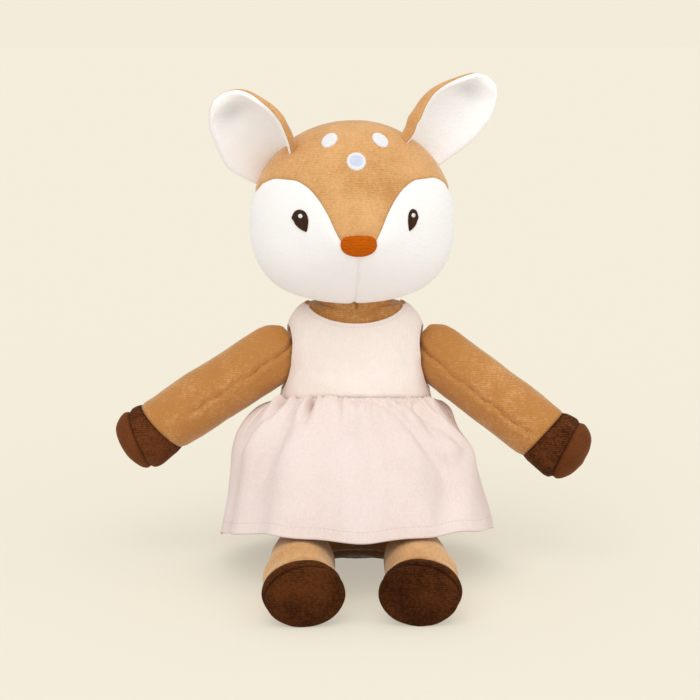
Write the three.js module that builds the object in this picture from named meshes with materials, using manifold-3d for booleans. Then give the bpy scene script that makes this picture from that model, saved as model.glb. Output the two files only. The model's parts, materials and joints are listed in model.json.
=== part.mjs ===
// A seated plush deer in a cotton dress, built as the sewn pieces that it is made of.
// Millimetres. The deer faces -Y, its own left is +X, and it sits on the plane z = 0.
import * as THREE from 'three';
import { mergeVertices } from 'three/addons/utils/BufferGeometryUtils.js';
import Module from 'manifold-3d';

const wasm = await Module();
wasm.setup();

// Cloth, seams and cuts
const gap = 0.3; // between two pieces that touch
const pile = 1.6; // thickness of the plush cloth
const cotton = 1.2; // thickness of the dress cloth with its facing
const settle = 0.5; // how far a stuffed form is pressed flat where it rests
const overrun = 6; // how far a cutting body runs past what it cuts

// Torso: a stuffed pear that leans back a little
const torso = {
  height: 147,
  halfWidth: 46.5,
  halfDepth: 36,
  leanBack: 14,
  columns: 20,
  innerColumns: 14,
};
// Rows from the seat to the neck seam: height, half width, half depth and backward shift
const torsoShares = [
  [0, 0.56, 0.5, 0.24],
  [0.03, 0.77, 0.74, 0.16],
  [0.085, 0.92, 0.91, 0.06],
  [0.18, 1, 1, -0.02],
  [0.32, 1, 1, 0],
  [0.48, 0.945, 0.93, 0],
  [0.635, 0.892, 0.861, 0],
  [0.76, 0.85, 0.79, 0],
  [0.87, 0.817, 0.72, 0],
  [0.932, 0.785, 0.666, 0],
  [0.967, 0.71, 0.62, 0],
  [0.987, 0.635, 0.585, 0],
  [1, 0.57, 0.555, 0],
];
const gusset = { height: 8 };
const pelletBag = { halfWidth: 21, halfDepth: 14, height: 12, back: 8, columns: 14, rows: 4 };

// Head: fuller at the cheeks than at the crown, with a short blunt muzzle
const head = {
  halfWidth: 56.8,
  halfDepth: 46,
  crownHeight: 55.5,
  jawDepth: 45.3,
  muzzleLength: 14,
  muzzleHalfWidth: 18,
  muzzleHalfHeight: 17,
  muzzleDrop: 4,
  aside: -2,
  forward: 4,
  up: 195,
  turn: THREE.MathUtils.degToRad(1.8),
  columns: 26,
  rows: 14,
  innerColumns: 18,
  innerRows: 10,
  cheekBack: 8,
};
const crownPowerShare = 2.15;
const jawPowerShare = 2.6;
// Upper edge of a cheek panel seen from the front, from the nose to the side of the head:
// shares of the head's half width and of the crown's height
const cheekEdgeShares = [
  [0.166, -0.08],
  [0.211, 0],
  [0.285, 0.162],
  [0.37, 0.3],
  [0.468, 0.405],
  [0.586, 0.463],
  [0.736, 0.463],
  [0.877, 0.404],
  [0.96, 0.3],
  [1.1, 0.24],
];
const nose = { halfWidth: 9.8, halfHeight: 5.8, down: 6, thick: 1.5, sides: 16 };
const eye = { halfWidth: 4.5, halfHeight: 6.4, across: 29.6, up: 5, thick: 0.9, sides: 14 };
const eyeTipShare = 0.35; // how far the drop's lower end leans to the nose
const glint = { radius: 1.3, across: 0.4, up: 2.4, thick: 0.5, sides: 8 };
const sideSpot = { halfWidth: 5, halfHeight: 3.7, across: 13.5, up: 46, thick: 0.8, sides: 12 };
const midSpot = { halfWidth: 5.4, halfHeight: 4.8, up: 35.7, thick: 0.8, sides: 12 };

// Ears: leaves that stand on a rolled root, with the inner edge curled forwards
const ear = {
  leftLength: 50,
  rightLength: 48,
  halfWidth: 19.5,
  backThick: 2,
  liningThick: 1.6,
  rootRadius: 3.6,
  rootHalfLength: 10,
  rootLift: 1.4,
  liningInset: 1,
  liningStart: 4.5,
  columns: 10,
};
const earLength = { left: ear.leftLength, right: ear.rightLength };
// Rows up an ear: share of the length, widths of its outer and inner part as shares of the
// half width, and how far the cloth turns forwards at its outer and at its inner edge
const earRows = {
  left: [
    [0, 0.56, 1.35, 10, 105],
    [0.13, 0.66, 1.9, 12, 145],
    [0.28, 0.7, 2.25, 14, 155],
    [0.44, 0.68, 2.36, 16, 155],
    [0.6, 0.64, 2.12, 16, 144],
    [0.75, 0.56, 1.62, 14, 124],
    [0.88, 0.42, 1.06, 12, 90],
    [0.96, 0.28, 0.62, 10, 55],
    [1, 0.12, 0.25, 6, 25],
  ],
  right: [
    [0, 0.98, 0.86, 14, 60],
    [0.13, 1, 1.5, 16, 110],
    [0.28, 0.98, 1.93, 18, 145],
    [0.44, 0.9, 2.08, 18, 160],
    [0.6, 0.78, 1.93, 16, 158],
    [0.75, 0.64, 1.6, 14, 142],
    [0.88, 0.46, 1.12, 12, 110],
    [0.96, 0.3, 0.7, 10, 70],
    [1, 0.14, 0.25, 6, 25],
  ],
};
// How late the turn comes on the way to the inner edge
const earCurlPowerShares = { left: 3.2, right: 2.6 };
const earSteps = 24;
const earSeatUpShares = { left: 0.65, right: 0.6 }; // height of an ear's seat on the crown
const earRound = THREE.MathUtils.degToRad(92); // the seat's angle round from the front
const earRise = {
  left: THREE.MathUtils.degToRad(50),
  right: THREE.MathUtils.degToRad(53),
};
const earBack = {
  left: THREE.MathUtils.degToRad(4),
  right: THREE.MathUtils.degToRad(-24),
};
const earOpen = {
  left: THREE.MathUtils.degToRad(8),
  right: THREE.MathUtils.degToRad(10),
};

// Neck: a stuffed ball on the torso's neck seam, in a dish under the head
const neck = { radius: 22, lift: 5, openingRadius: 12, columns: 20 };

// Arms: they swing on a gathered root that sits in the side of the torso
const arm = {
  length: 102,
  radius: 17,
  rootRadius: 14.9,
  rootOut: 7.5,
  rootUp: 118.4,
  rootForward: -3,
  hoofLength: 24,
  endLength: 10,
  hoofTilt: THREE.MathUtils.degToRad(12),
  columns: 14,
  innerColumns: 10,
  rootColumns: 16,
};
// Rows along an arm: distance from the shoulder, half width and half height
const armShares = [
  [0.03, 0.9, 0.9],
  [0.16, 0.96, 0.97],
  [0.36, 1, 1.01],
  [0.56, 1, 1.02],
  [0.72, 0.98, 0.99],
  [0.79, 1.02, 1.03],
  [0.87, 1.08, 1.08],
  [0.95, 0.93, 0.93],
  [0.99, 0.6, 0.6],
];
const armPose = {
  left: { drop: THREE.MathUtils.degToRad(35), forward: THREE.MathUtils.degToRad(17) },
  right: { drop: THREE.MathUtils.degToRad(33), forward: THREE.MathUtils.degToRad(0) },
};

// Legs: straight out in front, toes up
const leg = {
  length: 84,
  radius: 17.2,
  rootRadius: 13.2,
  rootAcross: 31,
  rootForward: -33,
  rootUp: 16.7,
  hoofLength: 17,
  soleLength: 7,
  hoofTilt: THREE.MathUtils.degToRad(-10),
  soleUp: 16.7,
  columns: 14,
  innerColumns: 10,
  rootColumns: 16,
};
const legShares = [
  [0.022, 0.78, 0.78],
  [0.14, 0.9, 0.9],
  [0.32, 1, 1],
  [0.55, 1, 1],
  [0.74, 0.96, 0.96],
  [0.83, 1.06, 0.98],
  [0.89, 1.19, 1],
  [0.945, 1.23, 1],
  [0.98, 1.17, 0.93],
  [1, 0.9, 0.71],
];
const legSplay = THREE.MathUtils.degToRad(-1);
const soleBulgeShare = 0.03;

// Dress: a bodice on the torso and a gathered skirt
const waist = { up: 91.3, slope: 0.25 };
const neckline = { halfWidth: 27, frontDrop: 8.5, backDrop: 6 };
const neckTopShare = 0.62;
const armhole = { radius: 17, up: 118, forward: -1 };
const sideSeam = { back: 10 };
const closure = { lap: 6, stripHalfWidth: 4, stripThick: 0.8, bottomUp: 101, topUp: 134 };
const skirt = {
  halfWidth: 77,
  halfDepth: 70,
  forward: -14,
  frontUp: 35,
  sideUp: 17,
  backUp: 5,
  foldDepth: 1.8,
  folds: 12,
  columns: 22,
};
const lapLiftShare = 0.35; // how far the thighs lift the hem on both sides of the lap
// Down the skirt: how far down it is, and how far out it stands on the deer's right, on its
// left and in front
const skirtShares = [
  [0, 0, 0, 0],
  [0.02, 0.28, 0.08, 0.15],
  [0.09, 0.52, 0.24, 0.28],
  [0.21, 0.7, 0.43, 0.42],
  [0.35, 0.8, 0.66, 0.56],
  [0.52, 0.84, 0.74, 0.7],
  [0.69, 0.88, 0.82, 0.81],
  [0.85, 0.94, 0.91, 0.91],
  [1, 1, 0.985, 1],
];
const foldDownShares = [0.2, 0.9, 1, 0.9, 0.75, 0.7, 0.7, 0.75, 0.85];

const finish = (color, roughness) => ({ color, roughness, metalness: 0 });
const finishes = {
  tan: finish(0xd9a469, 0.95),
  white: finish(0xf7f2ec, 0.95),
  hoof: finish(0x5a3520, 0.95),
  nose: finish(0xc5600d, 0.6),
  eye: finish(0x3a2418, 0.5),
  thread: finish(0xf2f2f5, 0.6),
  dress: finish(0xf5e6de, 0.9),
  fill: finish(0xf4f4f0, 1),
  pellets: finish(0xe8e0d0, 0.9),
  strip: finish(0xf3eee6, 0.8),
};

const deer = new THREE.Group();
deer.name = 'deer';

// Solids

// A closed solid made of a geometry whose surface is closed
function solid(geometry) {
  const bare = geometry.clone();
  bare.deleteAttribute('normal');
  bare.deleteAttribute('uv');
  const merged = mergeVertices(bare, 1e-4);
  return new wasm.Manifold(new wasm.Mesh({
    numProp: 3,
    vertProperties: new Float32Array(merged.attributes.position.array),
    triVerts: new Uint32Array(merged.index.array),
  }));
}

function geometryOf(made) {
  const mesh = made.getMesh();
  const geometry = new THREE.BufferGeometry();
  geometry.setAttribute('position', new THREE.BufferAttribute(mesh.vertProperties, 3));
  geometry.setIndex(new THREE.BufferAttribute(mesh.triVerts, 1));
  geometry.computeVertexNormals();
  return geometry;
}

function add(group, name, made, look) {
  const mesh = new THREE.Mesh(geometryOf(made), new THREE.MeshStandardMaterial(finishes[look]));
  mesh.name = name;
  group.add(mesh);
}

// One closed surface through rings of points, with each end closed by a fan
function loft(rings, startCentre, endCentre) {
  const columns = rings[0].length;
  const points = [startCentre, ...rings.flat(), endCentre];
  const last = points.length - 1;
  const at = (row, column) => 1 + row * columns + (column % columns);
  const index = [];
  for (let c = 0; c < columns; c++) {
    index.push(0, at(0, c + 1), at(0, c));
    index.push(last, at(rings.length - 1, c), at(rings.length - 1, c + 1));
    for (let r = 0; r < rings.length - 1; r++) {
      index.push(at(r, c), at(r, c + 1), at(r + 1, c + 1));
      index.push(at(r, c), at(r + 1, c + 1), at(r + 1, c));
    }
  }
  const geometry = new THREE.BufferGeometry().setFromPoints(points);
  geometry.setIndex(index);
  const made = solid(geometry);
  return made.volume() < 0 ? solid(turnedOut(geometry)) : made;
}

// The same surface with its faces turned round
function turnedOut(geometry) {
  const index = geometry.index.array;
  for (let i = 0; i < index.length; i += 3) [index[i + 1], index[i + 2]] = [index[i + 2], index[i + 1]];
  return geometry;
}

// A sheet of cloth between two surfaces that share a grid: pointAt(u, v, depth) gives both
function sheet(columns, rows, pointAt, top, bottom) {
  const points = [];
  for (const depth of [top, bottom]) {
    for (let r = 0; r <= rows; r++) {
      for (let c = 0; c <= columns; c++) points.push(pointAt(c / columns, r / rows, depth));
    }
  }
  const side = (columns + 1) * (rows + 1);
  const at = (layer, r, c) => layer * side + r * (columns + 1) + c;
  const index = [];
  const quad = (a, b, c, d) => index.push(a, b, c, a, c, d);
  for (let r = 0; r < rows; r++) {
    for (let c = 0; c < columns; c++) {
      quad(at(0, r, c), at(0, r + 1, c), at(0, r + 1, c + 1), at(0, r, c + 1));
      quad(at(1, r, c), at(1, r, c + 1), at(1, r + 1, c + 1), at(1, r + 1, c));
    }
    quad(at(0, r, 0), at(1, r, 0), at(1, r + 1, 0), at(0, r + 1, 0));
    quad(at(0, r, columns), at(0, r + 1, columns), at(1, r + 1, columns), at(1, r, columns));
  }
  for (let c = 0; c < columns; c++) {
    quad(at(0, 0, c), at(0, 0, c + 1), at(1, 0, c + 1), at(1, 0, c));
    quad(at(0, rows, c), at(1, rows, c), at(1, rows, c + 1), at(0, rows, c + 1));
  }
  const geometry = new THREE.BufferGeometry().setFromPoints(points);
  geometry.setIndex(index);
  const made = solid(geometry);
  return made.volume() < 0 ? solid(turnedOut(geometry)) : made;
}

// A point on a surface, moved along the surface's own outward normal
function offSurface(surface, u, v, depth, outward) {
  const step = 1e-3;
  const here = surface(u, v);
  const alongU = surface(u + step, v).sub(surface(u - step, v));
  const alongV = surface(u, v + step).sub(surface(u, v - step));
  const normal = alongU.cross(alongV).normalize();
  if (normal.dot(outward(here)) < 0) normal.negate();
  return here.addScaledVector(normal, depth);
}

function box(low, high) {
  const size = new THREE.Vector3().subVectors(high, low);
  const geometry = new THREE.BoxGeometry(size.x, size.y, size.z);
  return geometry.translate(low.x + size.x / 2, low.y + size.y / 2, low.z + size.z / 2);
}

function ball(centre, radius, columns) {
  return new THREE.SphereGeometry(radius, columns, columns / 2).translate(centre.x, centre.y, centre.z);
}

// The ball that is cut out of a piece so that every flat of the hollow stays clear of a ball in it
function hollowBall(centre, radius, columns) {
  return ball(centre, radius / Math.cos(Math.PI / columns) ** 2, columns);
}

const reach = torso.height + head.crownHeight + head.jawDepth + earLength.left + arm.length;
const floor = box(
  new THREE.Vector3(-reach, -reach, -reach),
  new THREE.Vector3(reach, reach, 0),
);

function slabBetween(low, high) {
  return solid(box(new THREE.Vector3(-reach, -reach, low), new THREE.Vector3(reach, reach, high)));
}

// The solid of a geometry that is given in the deer's frame, seen from a group's own frame
function inFrameOf(group, geometry) {
  group.updateWorldMatrix(true, false);
  return solid(geometry.clone().applyMatrix4(group.matrixWorld.clone().invert()));
}

const sides = { left: 1, right: -1 };

// Torso

function torsoRow(height, grow) {
  const last = torsoShares.length - 1;
  const share = THREE.MathUtils.clamp(height / torso.height, 0, 1);
  let i = 0;
  while (i < last - 1 && torsoShares[i + 1][0] < share) i++;
  const [a, b] = [torsoShares[i], torsoShares[i + 1]];
  const t = (share - a[0]) / (b[0] - a[0]);
  const [, wide, deep, back] = a.map((value, k) => THREE.MathUtils.lerp(value, b[k], t));
  return {
    x: torso.halfWidth * wide + grow,
    y: torso.halfDepth * deep + grow,
    back: torso.halfDepth * back + torso.leanBack * share,
  };
}

// The torso's form, grown outwards or, below zero, inwards; its top runs on upwards by rise
function torsoForm(grow, columns, rise = 0) {
  const rings = torsoShares.map(([share], i) => {
    const row = torsoRow(share * torso.height, grow);
    const low = i === 0 ? -settle - grow : 0;
    const high = i === torsoShares.length - 1 ? rise : 0;
    const z = share * torso.height + low + high;
    return ringOf(columns, (sin, cos) => new THREE.Vector3(row.x * sin, row.back - row.y * cos, z));
  });
  const centre = (ring) => ring.reduce((sum, p) => sum.add(p), new THREE.Vector3()).divideScalar(columns);
  return loft(rings, centre(rings[0]), centre(rings[rings.length - 1]));
}

function ringOf(columns, pointAt) {
  return Array.from({ length: columns }, (_, i) => {
    const angle = (2 * Math.PI * i) / columns;
    return pointAt(Math.sin(angle), Math.cos(angle));
  });
}

const neckCentre = new THREE.Vector3(0, torsoRow(torso.height, 0).back, torso.height + neck.lift);
const shoulderRow = torsoRow(arm.rootUp, 0);
const shoulder = (side) => new THREE.Vector3(
  side * (shoulderRow.x + arm.rootOut),
  shoulderRow.back + arm.rootForward,
  arm.rootUp,
);
const hip = (side) => new THREE.Vector3(side * leg.rootAcross, leg.rootForward, leg.rootUp);

// How far from its pivot a limb's sleeve begins: the reach of its open rim
const rimReach = (limb, shares) => Math.hypot(shares[0][0] * limb.length, shares[0][1] * limb.radius);

// The four dishes in the torso that the limbs' rims turn in, each grown by a distance
function rootDishes(grow) {
  const dishes = Object.values(sides).flatMap((side) => [
    solid(hollowBall(shoulder(side), rimReach(arm, armShares) + grow, arm.rootColumns)),
    solid(hollowBall(hip(side), rimReach(leg, legShares) + grow, leg.rootColumns)),
  ]);
  return dishes.reduce((all, dish) => all.add(dish));
}

function pelletForm(grow, below) {
  const rings = [];
  const bottom = pile + gap;
  const wide = (share) => Math.sqrt(1 - share * share);
  for (let r = below > 0 ? -1 : 0; r < pelletBag.rows; r++) {
    const share = Math.max(0, r) / pelletBag.rows;
    const drop = r < 0 ? below : 0;
    rings.push(ringOf(pelletBag.columns, (sin, cos) => new THREE.Vector3(
      (pelletBag.halfWidth * wide(share) + grow) * sin,
      pelletBag.back - (pelletBag.halfDepth * wide(share) + grow) * cos,
      bottom + pelletBag.height * share - drop,
    )));
  }
  const low = new THREE.Vector3(0, pelletBag.back, bottom - below);
  const high = new THREE.Vector3(0, pelletBag.back, bottom + pelletBag.height + grow);
  return loft(rings, low, high);
}

function makeTorso() {
  const outer = torsoForm(0, torso.columns).subtract(solid(floor)).subtract(rootDishes(gap));
  const opening = new THREE.CylinderGeometry(neck.openingRadius, neck.openingRadius, overrun, neck.columns);
  opening.rotateX(Math.PI / 2).translate(0, neckCentre.y, torso.height);
  const room = torsoForm(-pile, torso.innerColumns)
    .subtract(slabBetween(-reach, pile))
    .subtract(slabBetween(torso.height - pile, reach))
    .add(solid(opening))
    .subtract(rootDishes(gap + pile));
  const cloth = outer.subtract(room);
  const filling = torsoForm(-pile - gap, torso.innerColumns)
    .subtract(slabBetween(-reach, pile + gap))
    .subtract(slabBetween(torso.height - pile - gap, reach))
    .subtract(rootDishes(gap + pile + gap))
    .subtract(pelletForm(gap, overrun));
  add(deer, 'torso_skin', cloth.subtract(slabBetween(-reach, gusset.height + gap)), 'tan');
  add(deer, 'seat_gusset', cloth.intersect(slabBetween(-reach, gusset.height)), 'tan');
  add(deer, 'torso_stuffing', filling, 'fill');
  add(deer, 'pellet_bag', pelletForm(0, 0), 'pellets');
}

// Neck

function makeNeck() {
  const made = solid(ball(neckCentre, neck.radius, neck.columns));
  add(deer, 'neck', made.subtract(slabBetween(-reach, torso.height + gap)), 'tan');
}

// Head

// A point of the head, from a height share between -1 and 1 and an angle round from the front
function headPoint(share, angle, grow) {
  const tall = share > 0 ? head.crownHeight : head.jawDepth;
  const power = share > 0 ? crownPowerShare : jawPowerShare;
  const wide = Math.pow(Math.max(0, 1 - Math.pow(Math.abs(share), power)), 1 / power);
  const x = (head.halfWidth + grow) * wide * Math.sin(angle);
  const z = (tall + grow) * share;
  const muzzle = head.muzzleLength * Math.max(0, Math.cos(angle)) * Math.exp(
    -((x / head.muzzleHalfWidth) ** 2) / 2 - (((z + head.muzzleDrop) / head.muzzleHalfHeight) ** 2) / 2,
  );
  return new THREE.Vector3(x, -(head.halfDepth + grow) * wide * Math.cos(angle) - muzzle, z);
}

function headForm(grow, columns, rows) {
  const rings = [];
  for (let r = 1; r < rows; r++) {
    const share = -Math.cos((Math.PI * r) / rows);
    rings.push(Array.from({ length: columns }, (_, c) => headPoint(share, (2 * Math.PI * c) / columns, grow)));
  }
  return loft(rings, headPoint(-1, 0, grow), headPoint(1, 0, grow));
}

// Where the front of the head lies at a place seen from the front
function headFront(x, z) {
  const tall = z > 0 ? head.crownHeight : head.jawDepth;
  const power = z > 0 ? crownPowerShare : jawPowerShare;
  const share = THREE.MathUtils.clamp(z / tall, -1, 1);
  const wide = Math.pow(Math.max(1e-9, 1 - Math.pow(Math.abs(share), power)), 1 / power);
  const sin = THREE.MathUtils.clamp(x / (head.halfWidth * wide), -1, 1);
  return headPoint(share, Math.asin(sin), 0);
}

const headGroup = new THREE.Group();
headGroup.position.set(head.aside, head.forward, head.up);
headGroup.rotation.z = head.turn;
deer.add(headGroup);

// The outline of a cheek panel seen from the front, grown by a distance
function cheekOutline(grow) {
  const edge = cheekEdgeShares.map(([x, z]) => new THREE.Vector2(x * head.halfWidth, z * head.crownHeight));
  const grown = edge.map((point, i) => {
    const before = edge[Math.max(0, i - 1)];
    const after = edge[Math.min(edge.length - 1, i + 1)];
    const along = new THREE.Vector2().subVectors(after, before).normalize();
    return new THREE.Vector2(point.x - along.y * grow, point.y + along.x * grow);
  });
  const centre = gap / 2 - grow;
  const low = -head.jawDepth - overrun;
  return [
    new THREE.Vector2(centre, -nose.down - nose.halfHeight / 2 + grow),
    ...grown,
    new THREE.Vector2(head.halfWidth + overrun, grown[grown.length - 1].y),
    new THREE.Vector2(head.halfWidth + overrun, low),
    new THREE.Vector2(centre, low),
  ];
}

// The block in front of the head that holds one cheek panel
function cheekBlock(side, grow) {
  const outline = cheekOutline(grow).map((p) => new THREE.Vector2(side * p.x, p.y));
  const depth = head.halfDepth + head.muzzleLength + overrun + head.cheekBack + grow;
  const geometry = new THREE.ExtrudeGeometry(new THREE.Shape(outline), { depth, bevelEnabled: false });
  geometry.rotateX(Math.PI / 2).translate(0, head.cheekBack + grow, 0);
  return solid(geometry);
}

// A flat patch on the front of the head: a fan of rings that follows the surface
function patch(spot, x, z, lift, options = {}) {
  const { tip = 0, tilt = 0 } = options;
  const wide = spot.halfWidth ?? spot.radius;
  const tall = spot.halfHeight ?? spot.radius;
  const surface = (u, v) => headFront(x + u, z + v);
  const at = (across, up, depth) => {
    const lean = tip * Math.max(0, -up);
    const [a, b] = [across * (1 - lean * lean) * wide, up * tall];
    const u = a * Math.cos(tilt) - b * Math.sin(tilt);
    const v = a * Math.sin(tilt) + b * Math.cos(tilt);
    return offSurface(surface, u, v, depth, () => new THREE.Vector3(0, -1, 0.2));
  };
  const ring = (share, depth) => ringOf(spot.sides, (sin, cos) => at(share * sin, share * cos, depth));
  const low = gap + lift;
  const rings = [ring(0.55, low), ring(1, low), ring(1, low + spot.thick / 2), ring(0.7, low + spot.thick)];
  return loft(rings, at(0, 0, low), at(0, 0, low + spot.thick));
}

// Ears

// A group at the seat of an ear on the side of the crown: its X runs down the seat towards
// the cheek, and its Y runs up the ear
function earGroup(name, side) {
  const up = earSeatUpShares[name];
  const here = headPoint(up, earRound, 0);
  const along = headPoint(up + 0.01, earRound, 0).sub(here).normalize();
  const around = headPoint(up, earRound + 0.01, 0).sub(here).normalize();
  const outward = new THREE.Vector3().crossVectors(around, along).normalize();
  const centre = here.addScaledVector(outward, ear.rootLift);
  const [rise, back] = [earRise[name], earBack[name]];
  const length = new THREE.Vector3(
    side * Math.cos(rise) * Math.cos(back),
    Math.sin(back),
    Math.sin(rise) * Math.cos(back),
  );
  const across = new THREE.Vector3(-side * along.x, -along.y, -along.z);
  across.addScaledVector(length, -across.dot(length)).normalize();
  const front = new THREE.Vector3().crossVectors(across, length);
  const group = new THREE.Group();
  group.quaternion.setFromRotationMatrix(new THREE.Matrix4().makeBasis(across, length, front));
  group.position.set(side * centre.x, centre.y, centre.z);
  group.updateMatrix();
  headGroup.add(group);
  return group;
}

// A point of the ear's leaf. Across runs from the outer edge to the inner one. The hollow
// opens to the group's +Z or -Z, whichever faces the deer's front.
function earPoint(name, across, down, depth, inset) {
  const rows = earRows[name];
  const last = rows.length - 1;
  let i = 0;
  while (i < last - 1 && rows[i + 1][0] < down) i++;
  const t = (down - rows[i][0]) / (rows[i + 1][0] - rows[i][0]);
  const row = rows[i].map((value, k) => THREE.MathUtils.lerp(value, rows[i + 1][k], t));
  const [, outerWide, innerWide, outer, inner] = row;
  const length = (outerWide + innerWide) * ear.halfWidth - 2 * inset;
  const turnAt = (share) => THREE.MathUtils.degToRad(
    -outer + (outer + inner) * Math.pow(share, earCurlPowerShares[name]),
  );
  const path = (share) => {
    const here = new THREE.Vector2();
    for (let k = 0; k < earSteps; k++) {
      const turn = turnAt((share * (k + 0.5)) / earSteps);
      here.x -= (Math.cos(turn) * length * share) / earSteps;
      here.y += (Math.sin(turn) * length * share) / earSteps;
    }
    return here;
  };
  const place = path(across).sub(path(outerWide / (outerWide + innerWide)));
  const turn = turnAt(across);
  place.x += Math.sin(turn) * depth;
  place.y += Math.cos(turn) * depth;
  const open = earOpen[name];
  return new THREE.Vector3(
    place.x * Math.cos(open) + place.y * Math.sin(open),
    down * earLength[name],
    sides[name] * (place.y * Math.cos(open) - place.x * Math.sin(open)),
  );
}

function earRoll(grow) {
  const roll = new THREE.CapsuleGeometry(ear.rootRadius + grow, 2 * ear.rootHalfLength, 2, 8);
  return roll.rotateZ(Math.PI / 2);
}

function makeEar(name, side) {
  const group = earGroup(name, side);
  const rows = earRows[name];
  const leaf = (top, bottom, inset, from) => sheet(
    ear.columns,
    rows.length - 1,
    (u, v, depth) => {
      const down = THREE.MathUtils.lerp(from, 1, rows[Math.round(v * (rows.length - 1))][0]);
      return earPoint(name, u, down, depth, inset);
    },
    top,
    bottom,
  );
  const lining = leaf(ear.liningThick + gap, gap, ear.liningInset, ear.liningStart / earLength[name]);
  const skull = headForm(gap, head.columns, head.rows)
    .transform([...new THREE.Matrix4().copy(group.matrix).invert().elements]);
  const back = leaf(0, -ear.backThick, 0, 0).subtract(skull).add(solid(earRoll(0)));
  add(group, `ear_back_${name}`, back, 'tan');
  add(group, `ear_lining_${name}`, lining.subtract(skull), 'white');
}

// The groove for an ear's rolled root, in the head's own frame
function earGroove(name, side) {
  const group = earGroup(name, side);
  headGroup.remove(group);
  return solid(earRoll(gap).applyMatrix4(group.matrix));
}

function makeHead() {
  const dish = inFrameOf(headGroup, hollowBall(neckCentre, neck.radius + gap, neck.columns));
  const grooves = Object.entries(sides).map(([name, side]) => earGroove(name, side));
  const cuts = grooves.reduce((all, groove) => all.add(groove), dish);
  const cloth = headForm(0, head.columns, head.rows)
    .subtract(headForm(-pile, head.innerColumns, head.innerRows))
    .subtract(cuts);
  const filling = headForm(-pile - gap, head.innerColumns, head.innerRows).subtract(cuts);
  const bothCheeks = cheekBlock(1, gap).add(cheekBlock(-1, gap));
  add(headGroup, 'head_crown', cloth.subtract(bothCheeks), 'tan');
  add(headGroup, 'head_stuffing', filling, 'fill');
  add(headGroup, 'nose', patch(nose, 0, -nose.down, 0), 'nose');
  add(headGroup, 'spot_centre', patch(midSpot, 0, midSpot.up, 0), 'thread');
  for (const [name, side] of Object.entries(sides)) {
    add(headGroup, `cheek_${name}`, cloth.intersect(cheekBlock(side, 0)), 'white');
    add(headGroup, `eye_${name}`, patch(eye, side * eye.across, eye.up, 0, { tip: eyeTipShare }), 'eye');
    const [x, z] = [side * eye.across + glint.across, eye.up + glint.up];
    add(headGroup, `eye_glint_${name}`, patch(glint, x, z, eye.thick), 'thread');
    const spot = patch(sideSpot, side * sideSpot.across, sideSpot.up, 0, { tilt: -side * 0.35 });
    add(headGroup, `spot_${name}`, spot, 'thread');
    makeEar(name, side);
  }
}

// Limbs

// A limb's form along -Y from its root, grown by a distance
function limbForm(limb, shares, columns, grow, endShare) {
  const rings = shares.map(([along, wide, tall], i) => {
    const end = i === shares.length - 1;
    const y = -(along * limb.length + (end ? grow : 0));
    return ringOf(columns, (sin, cos) => new THREE.Vector3(
      (wide * limb.radius + grow) * sin,
      y,
      (tall * limb.radius + grow) * cos,
    ));
  });
  const start = new THREE.Vector3(0, rings[0][0].y, 0);
  const end = new THREE.Vector3(0, -(limb.length * (1 + endShare) + grow), 0);
  return loft(rings, start, end);
}

// A block that holds a limb's far end, past a slanting plane at a distance from the root
function beyond(limb, distance, tilt) {
  const block = box(
    new THREE.Vector3(-reach, -reach, -reach),
    new THREE.Vector3(reach, 0, reach),
  );
  return solid(block.rotateX(tilt).translate(0, -distance, 0));
}

// The sleeve, the hoof's band, the hoof's end panel and the stuffing of one limb
function makeLimb(group, kind, name, limb, shares, endShare, endLength, rootCentre, hoofNames) {
  const outer = limbForm(limb, shares, limb.columns, 0, endShare);
  const room = limbForm(limb, shares, limb.innerColumns, -pile, endShare);
  const filling = limbForm(limb, shares, limb.innerColumns, -pile - gap, endShare);
  const socket = solid(hollowBall(rootCentre, limb.rootRadius + gap, limb.rootColumns));
  const behindStart = solid(box(
    new THREE.Vector3(-reach, -shares[0][0] * limb.length - gap, -reach),
    new THREE.Vector3(reach, reach, reach),
  ));
  const slab = inFrameOf(group, floor);
  const cloth = outer.subtract(room).subtract(slab).subtract(socket);
  const hoofAt = limb.length - limb.hoofLength;
  const endAt = limb.length - endLength;
  const sleeve = cloth.subtract(beyond(limb, hoofAt - gap, limb.hoofTilt));
  const band = cloth
    .intersect(beyond(limb, hoofAt, limb.hoofTilt))
    .subtract(beyond(limb, endAt - gap, -limb.hoofTilt));
  const end = cloth.intersect(beyond(limb, endAt, -limb.hoofTilt));
  add(group, `${kind}_sleeve_${name}`, sleeve, 'tan');
  add(group, `${hoofNames.band}_${name}`, band, 'hoof');
  add(group, `${hoofNames.end}_${name}`, end, 'hoof');
  add(group, `${kind}_stuffing_${name}`, filling.subtract(behindStart).subtract(socket).subtract(slab), 'fill');
}

// A limb's gathered root, turned half a flat so that its corners face the flats of its dish
function rootBall(limb) {
  const halfFlat = Math.PI / limb.rootColumns;
  return solid(ball(new THREE.Vector3(), limb.rootRadius, limb.rootColumns).rotateX(halfFlat).rotateY(halfFlat));
}

function makeArm(name, side) {
  const { drop, forward } = armPose[name];
  const group = new THREE.Group();
  group.position.copy(shoulder(side));
  group.rotation.set(drop, 0, side * (Math.PI / 2 - forward), 'ZYX');
  deer.add(group);
  add(group, `arm_root_${name}`, rootBall(arm), 'tan');
  const names = { band: 'hand_hoof_band', end: 'hand_hoof_end' };
  makeLimb(group, 'arm', name, arm, armShares, 0, arm.endLength, new THREE.Vector3(), names);
}

function makeLeg(name, side) {
  const group = new THREE.Group();
  group.position.copy(hip(side));
  const rise = Math.asin((leg.soleUp - leg.rootUp) / leg.length);
  group.rotation.set(-rise, 0, side * legSplay, 'ZYX');
  deer.add(group);
  add(group, `leg_root_${name}`, rootBall(leg), 'tan');
  const names = { band: 'foot_hoof_band', end: 'foot_sole' };
  makeLimb(group, 'leg', name, leg, legShares, soleBulgeShare, leg.soleLength, new THREE.Vector3(), names);
}

// Dress

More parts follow.
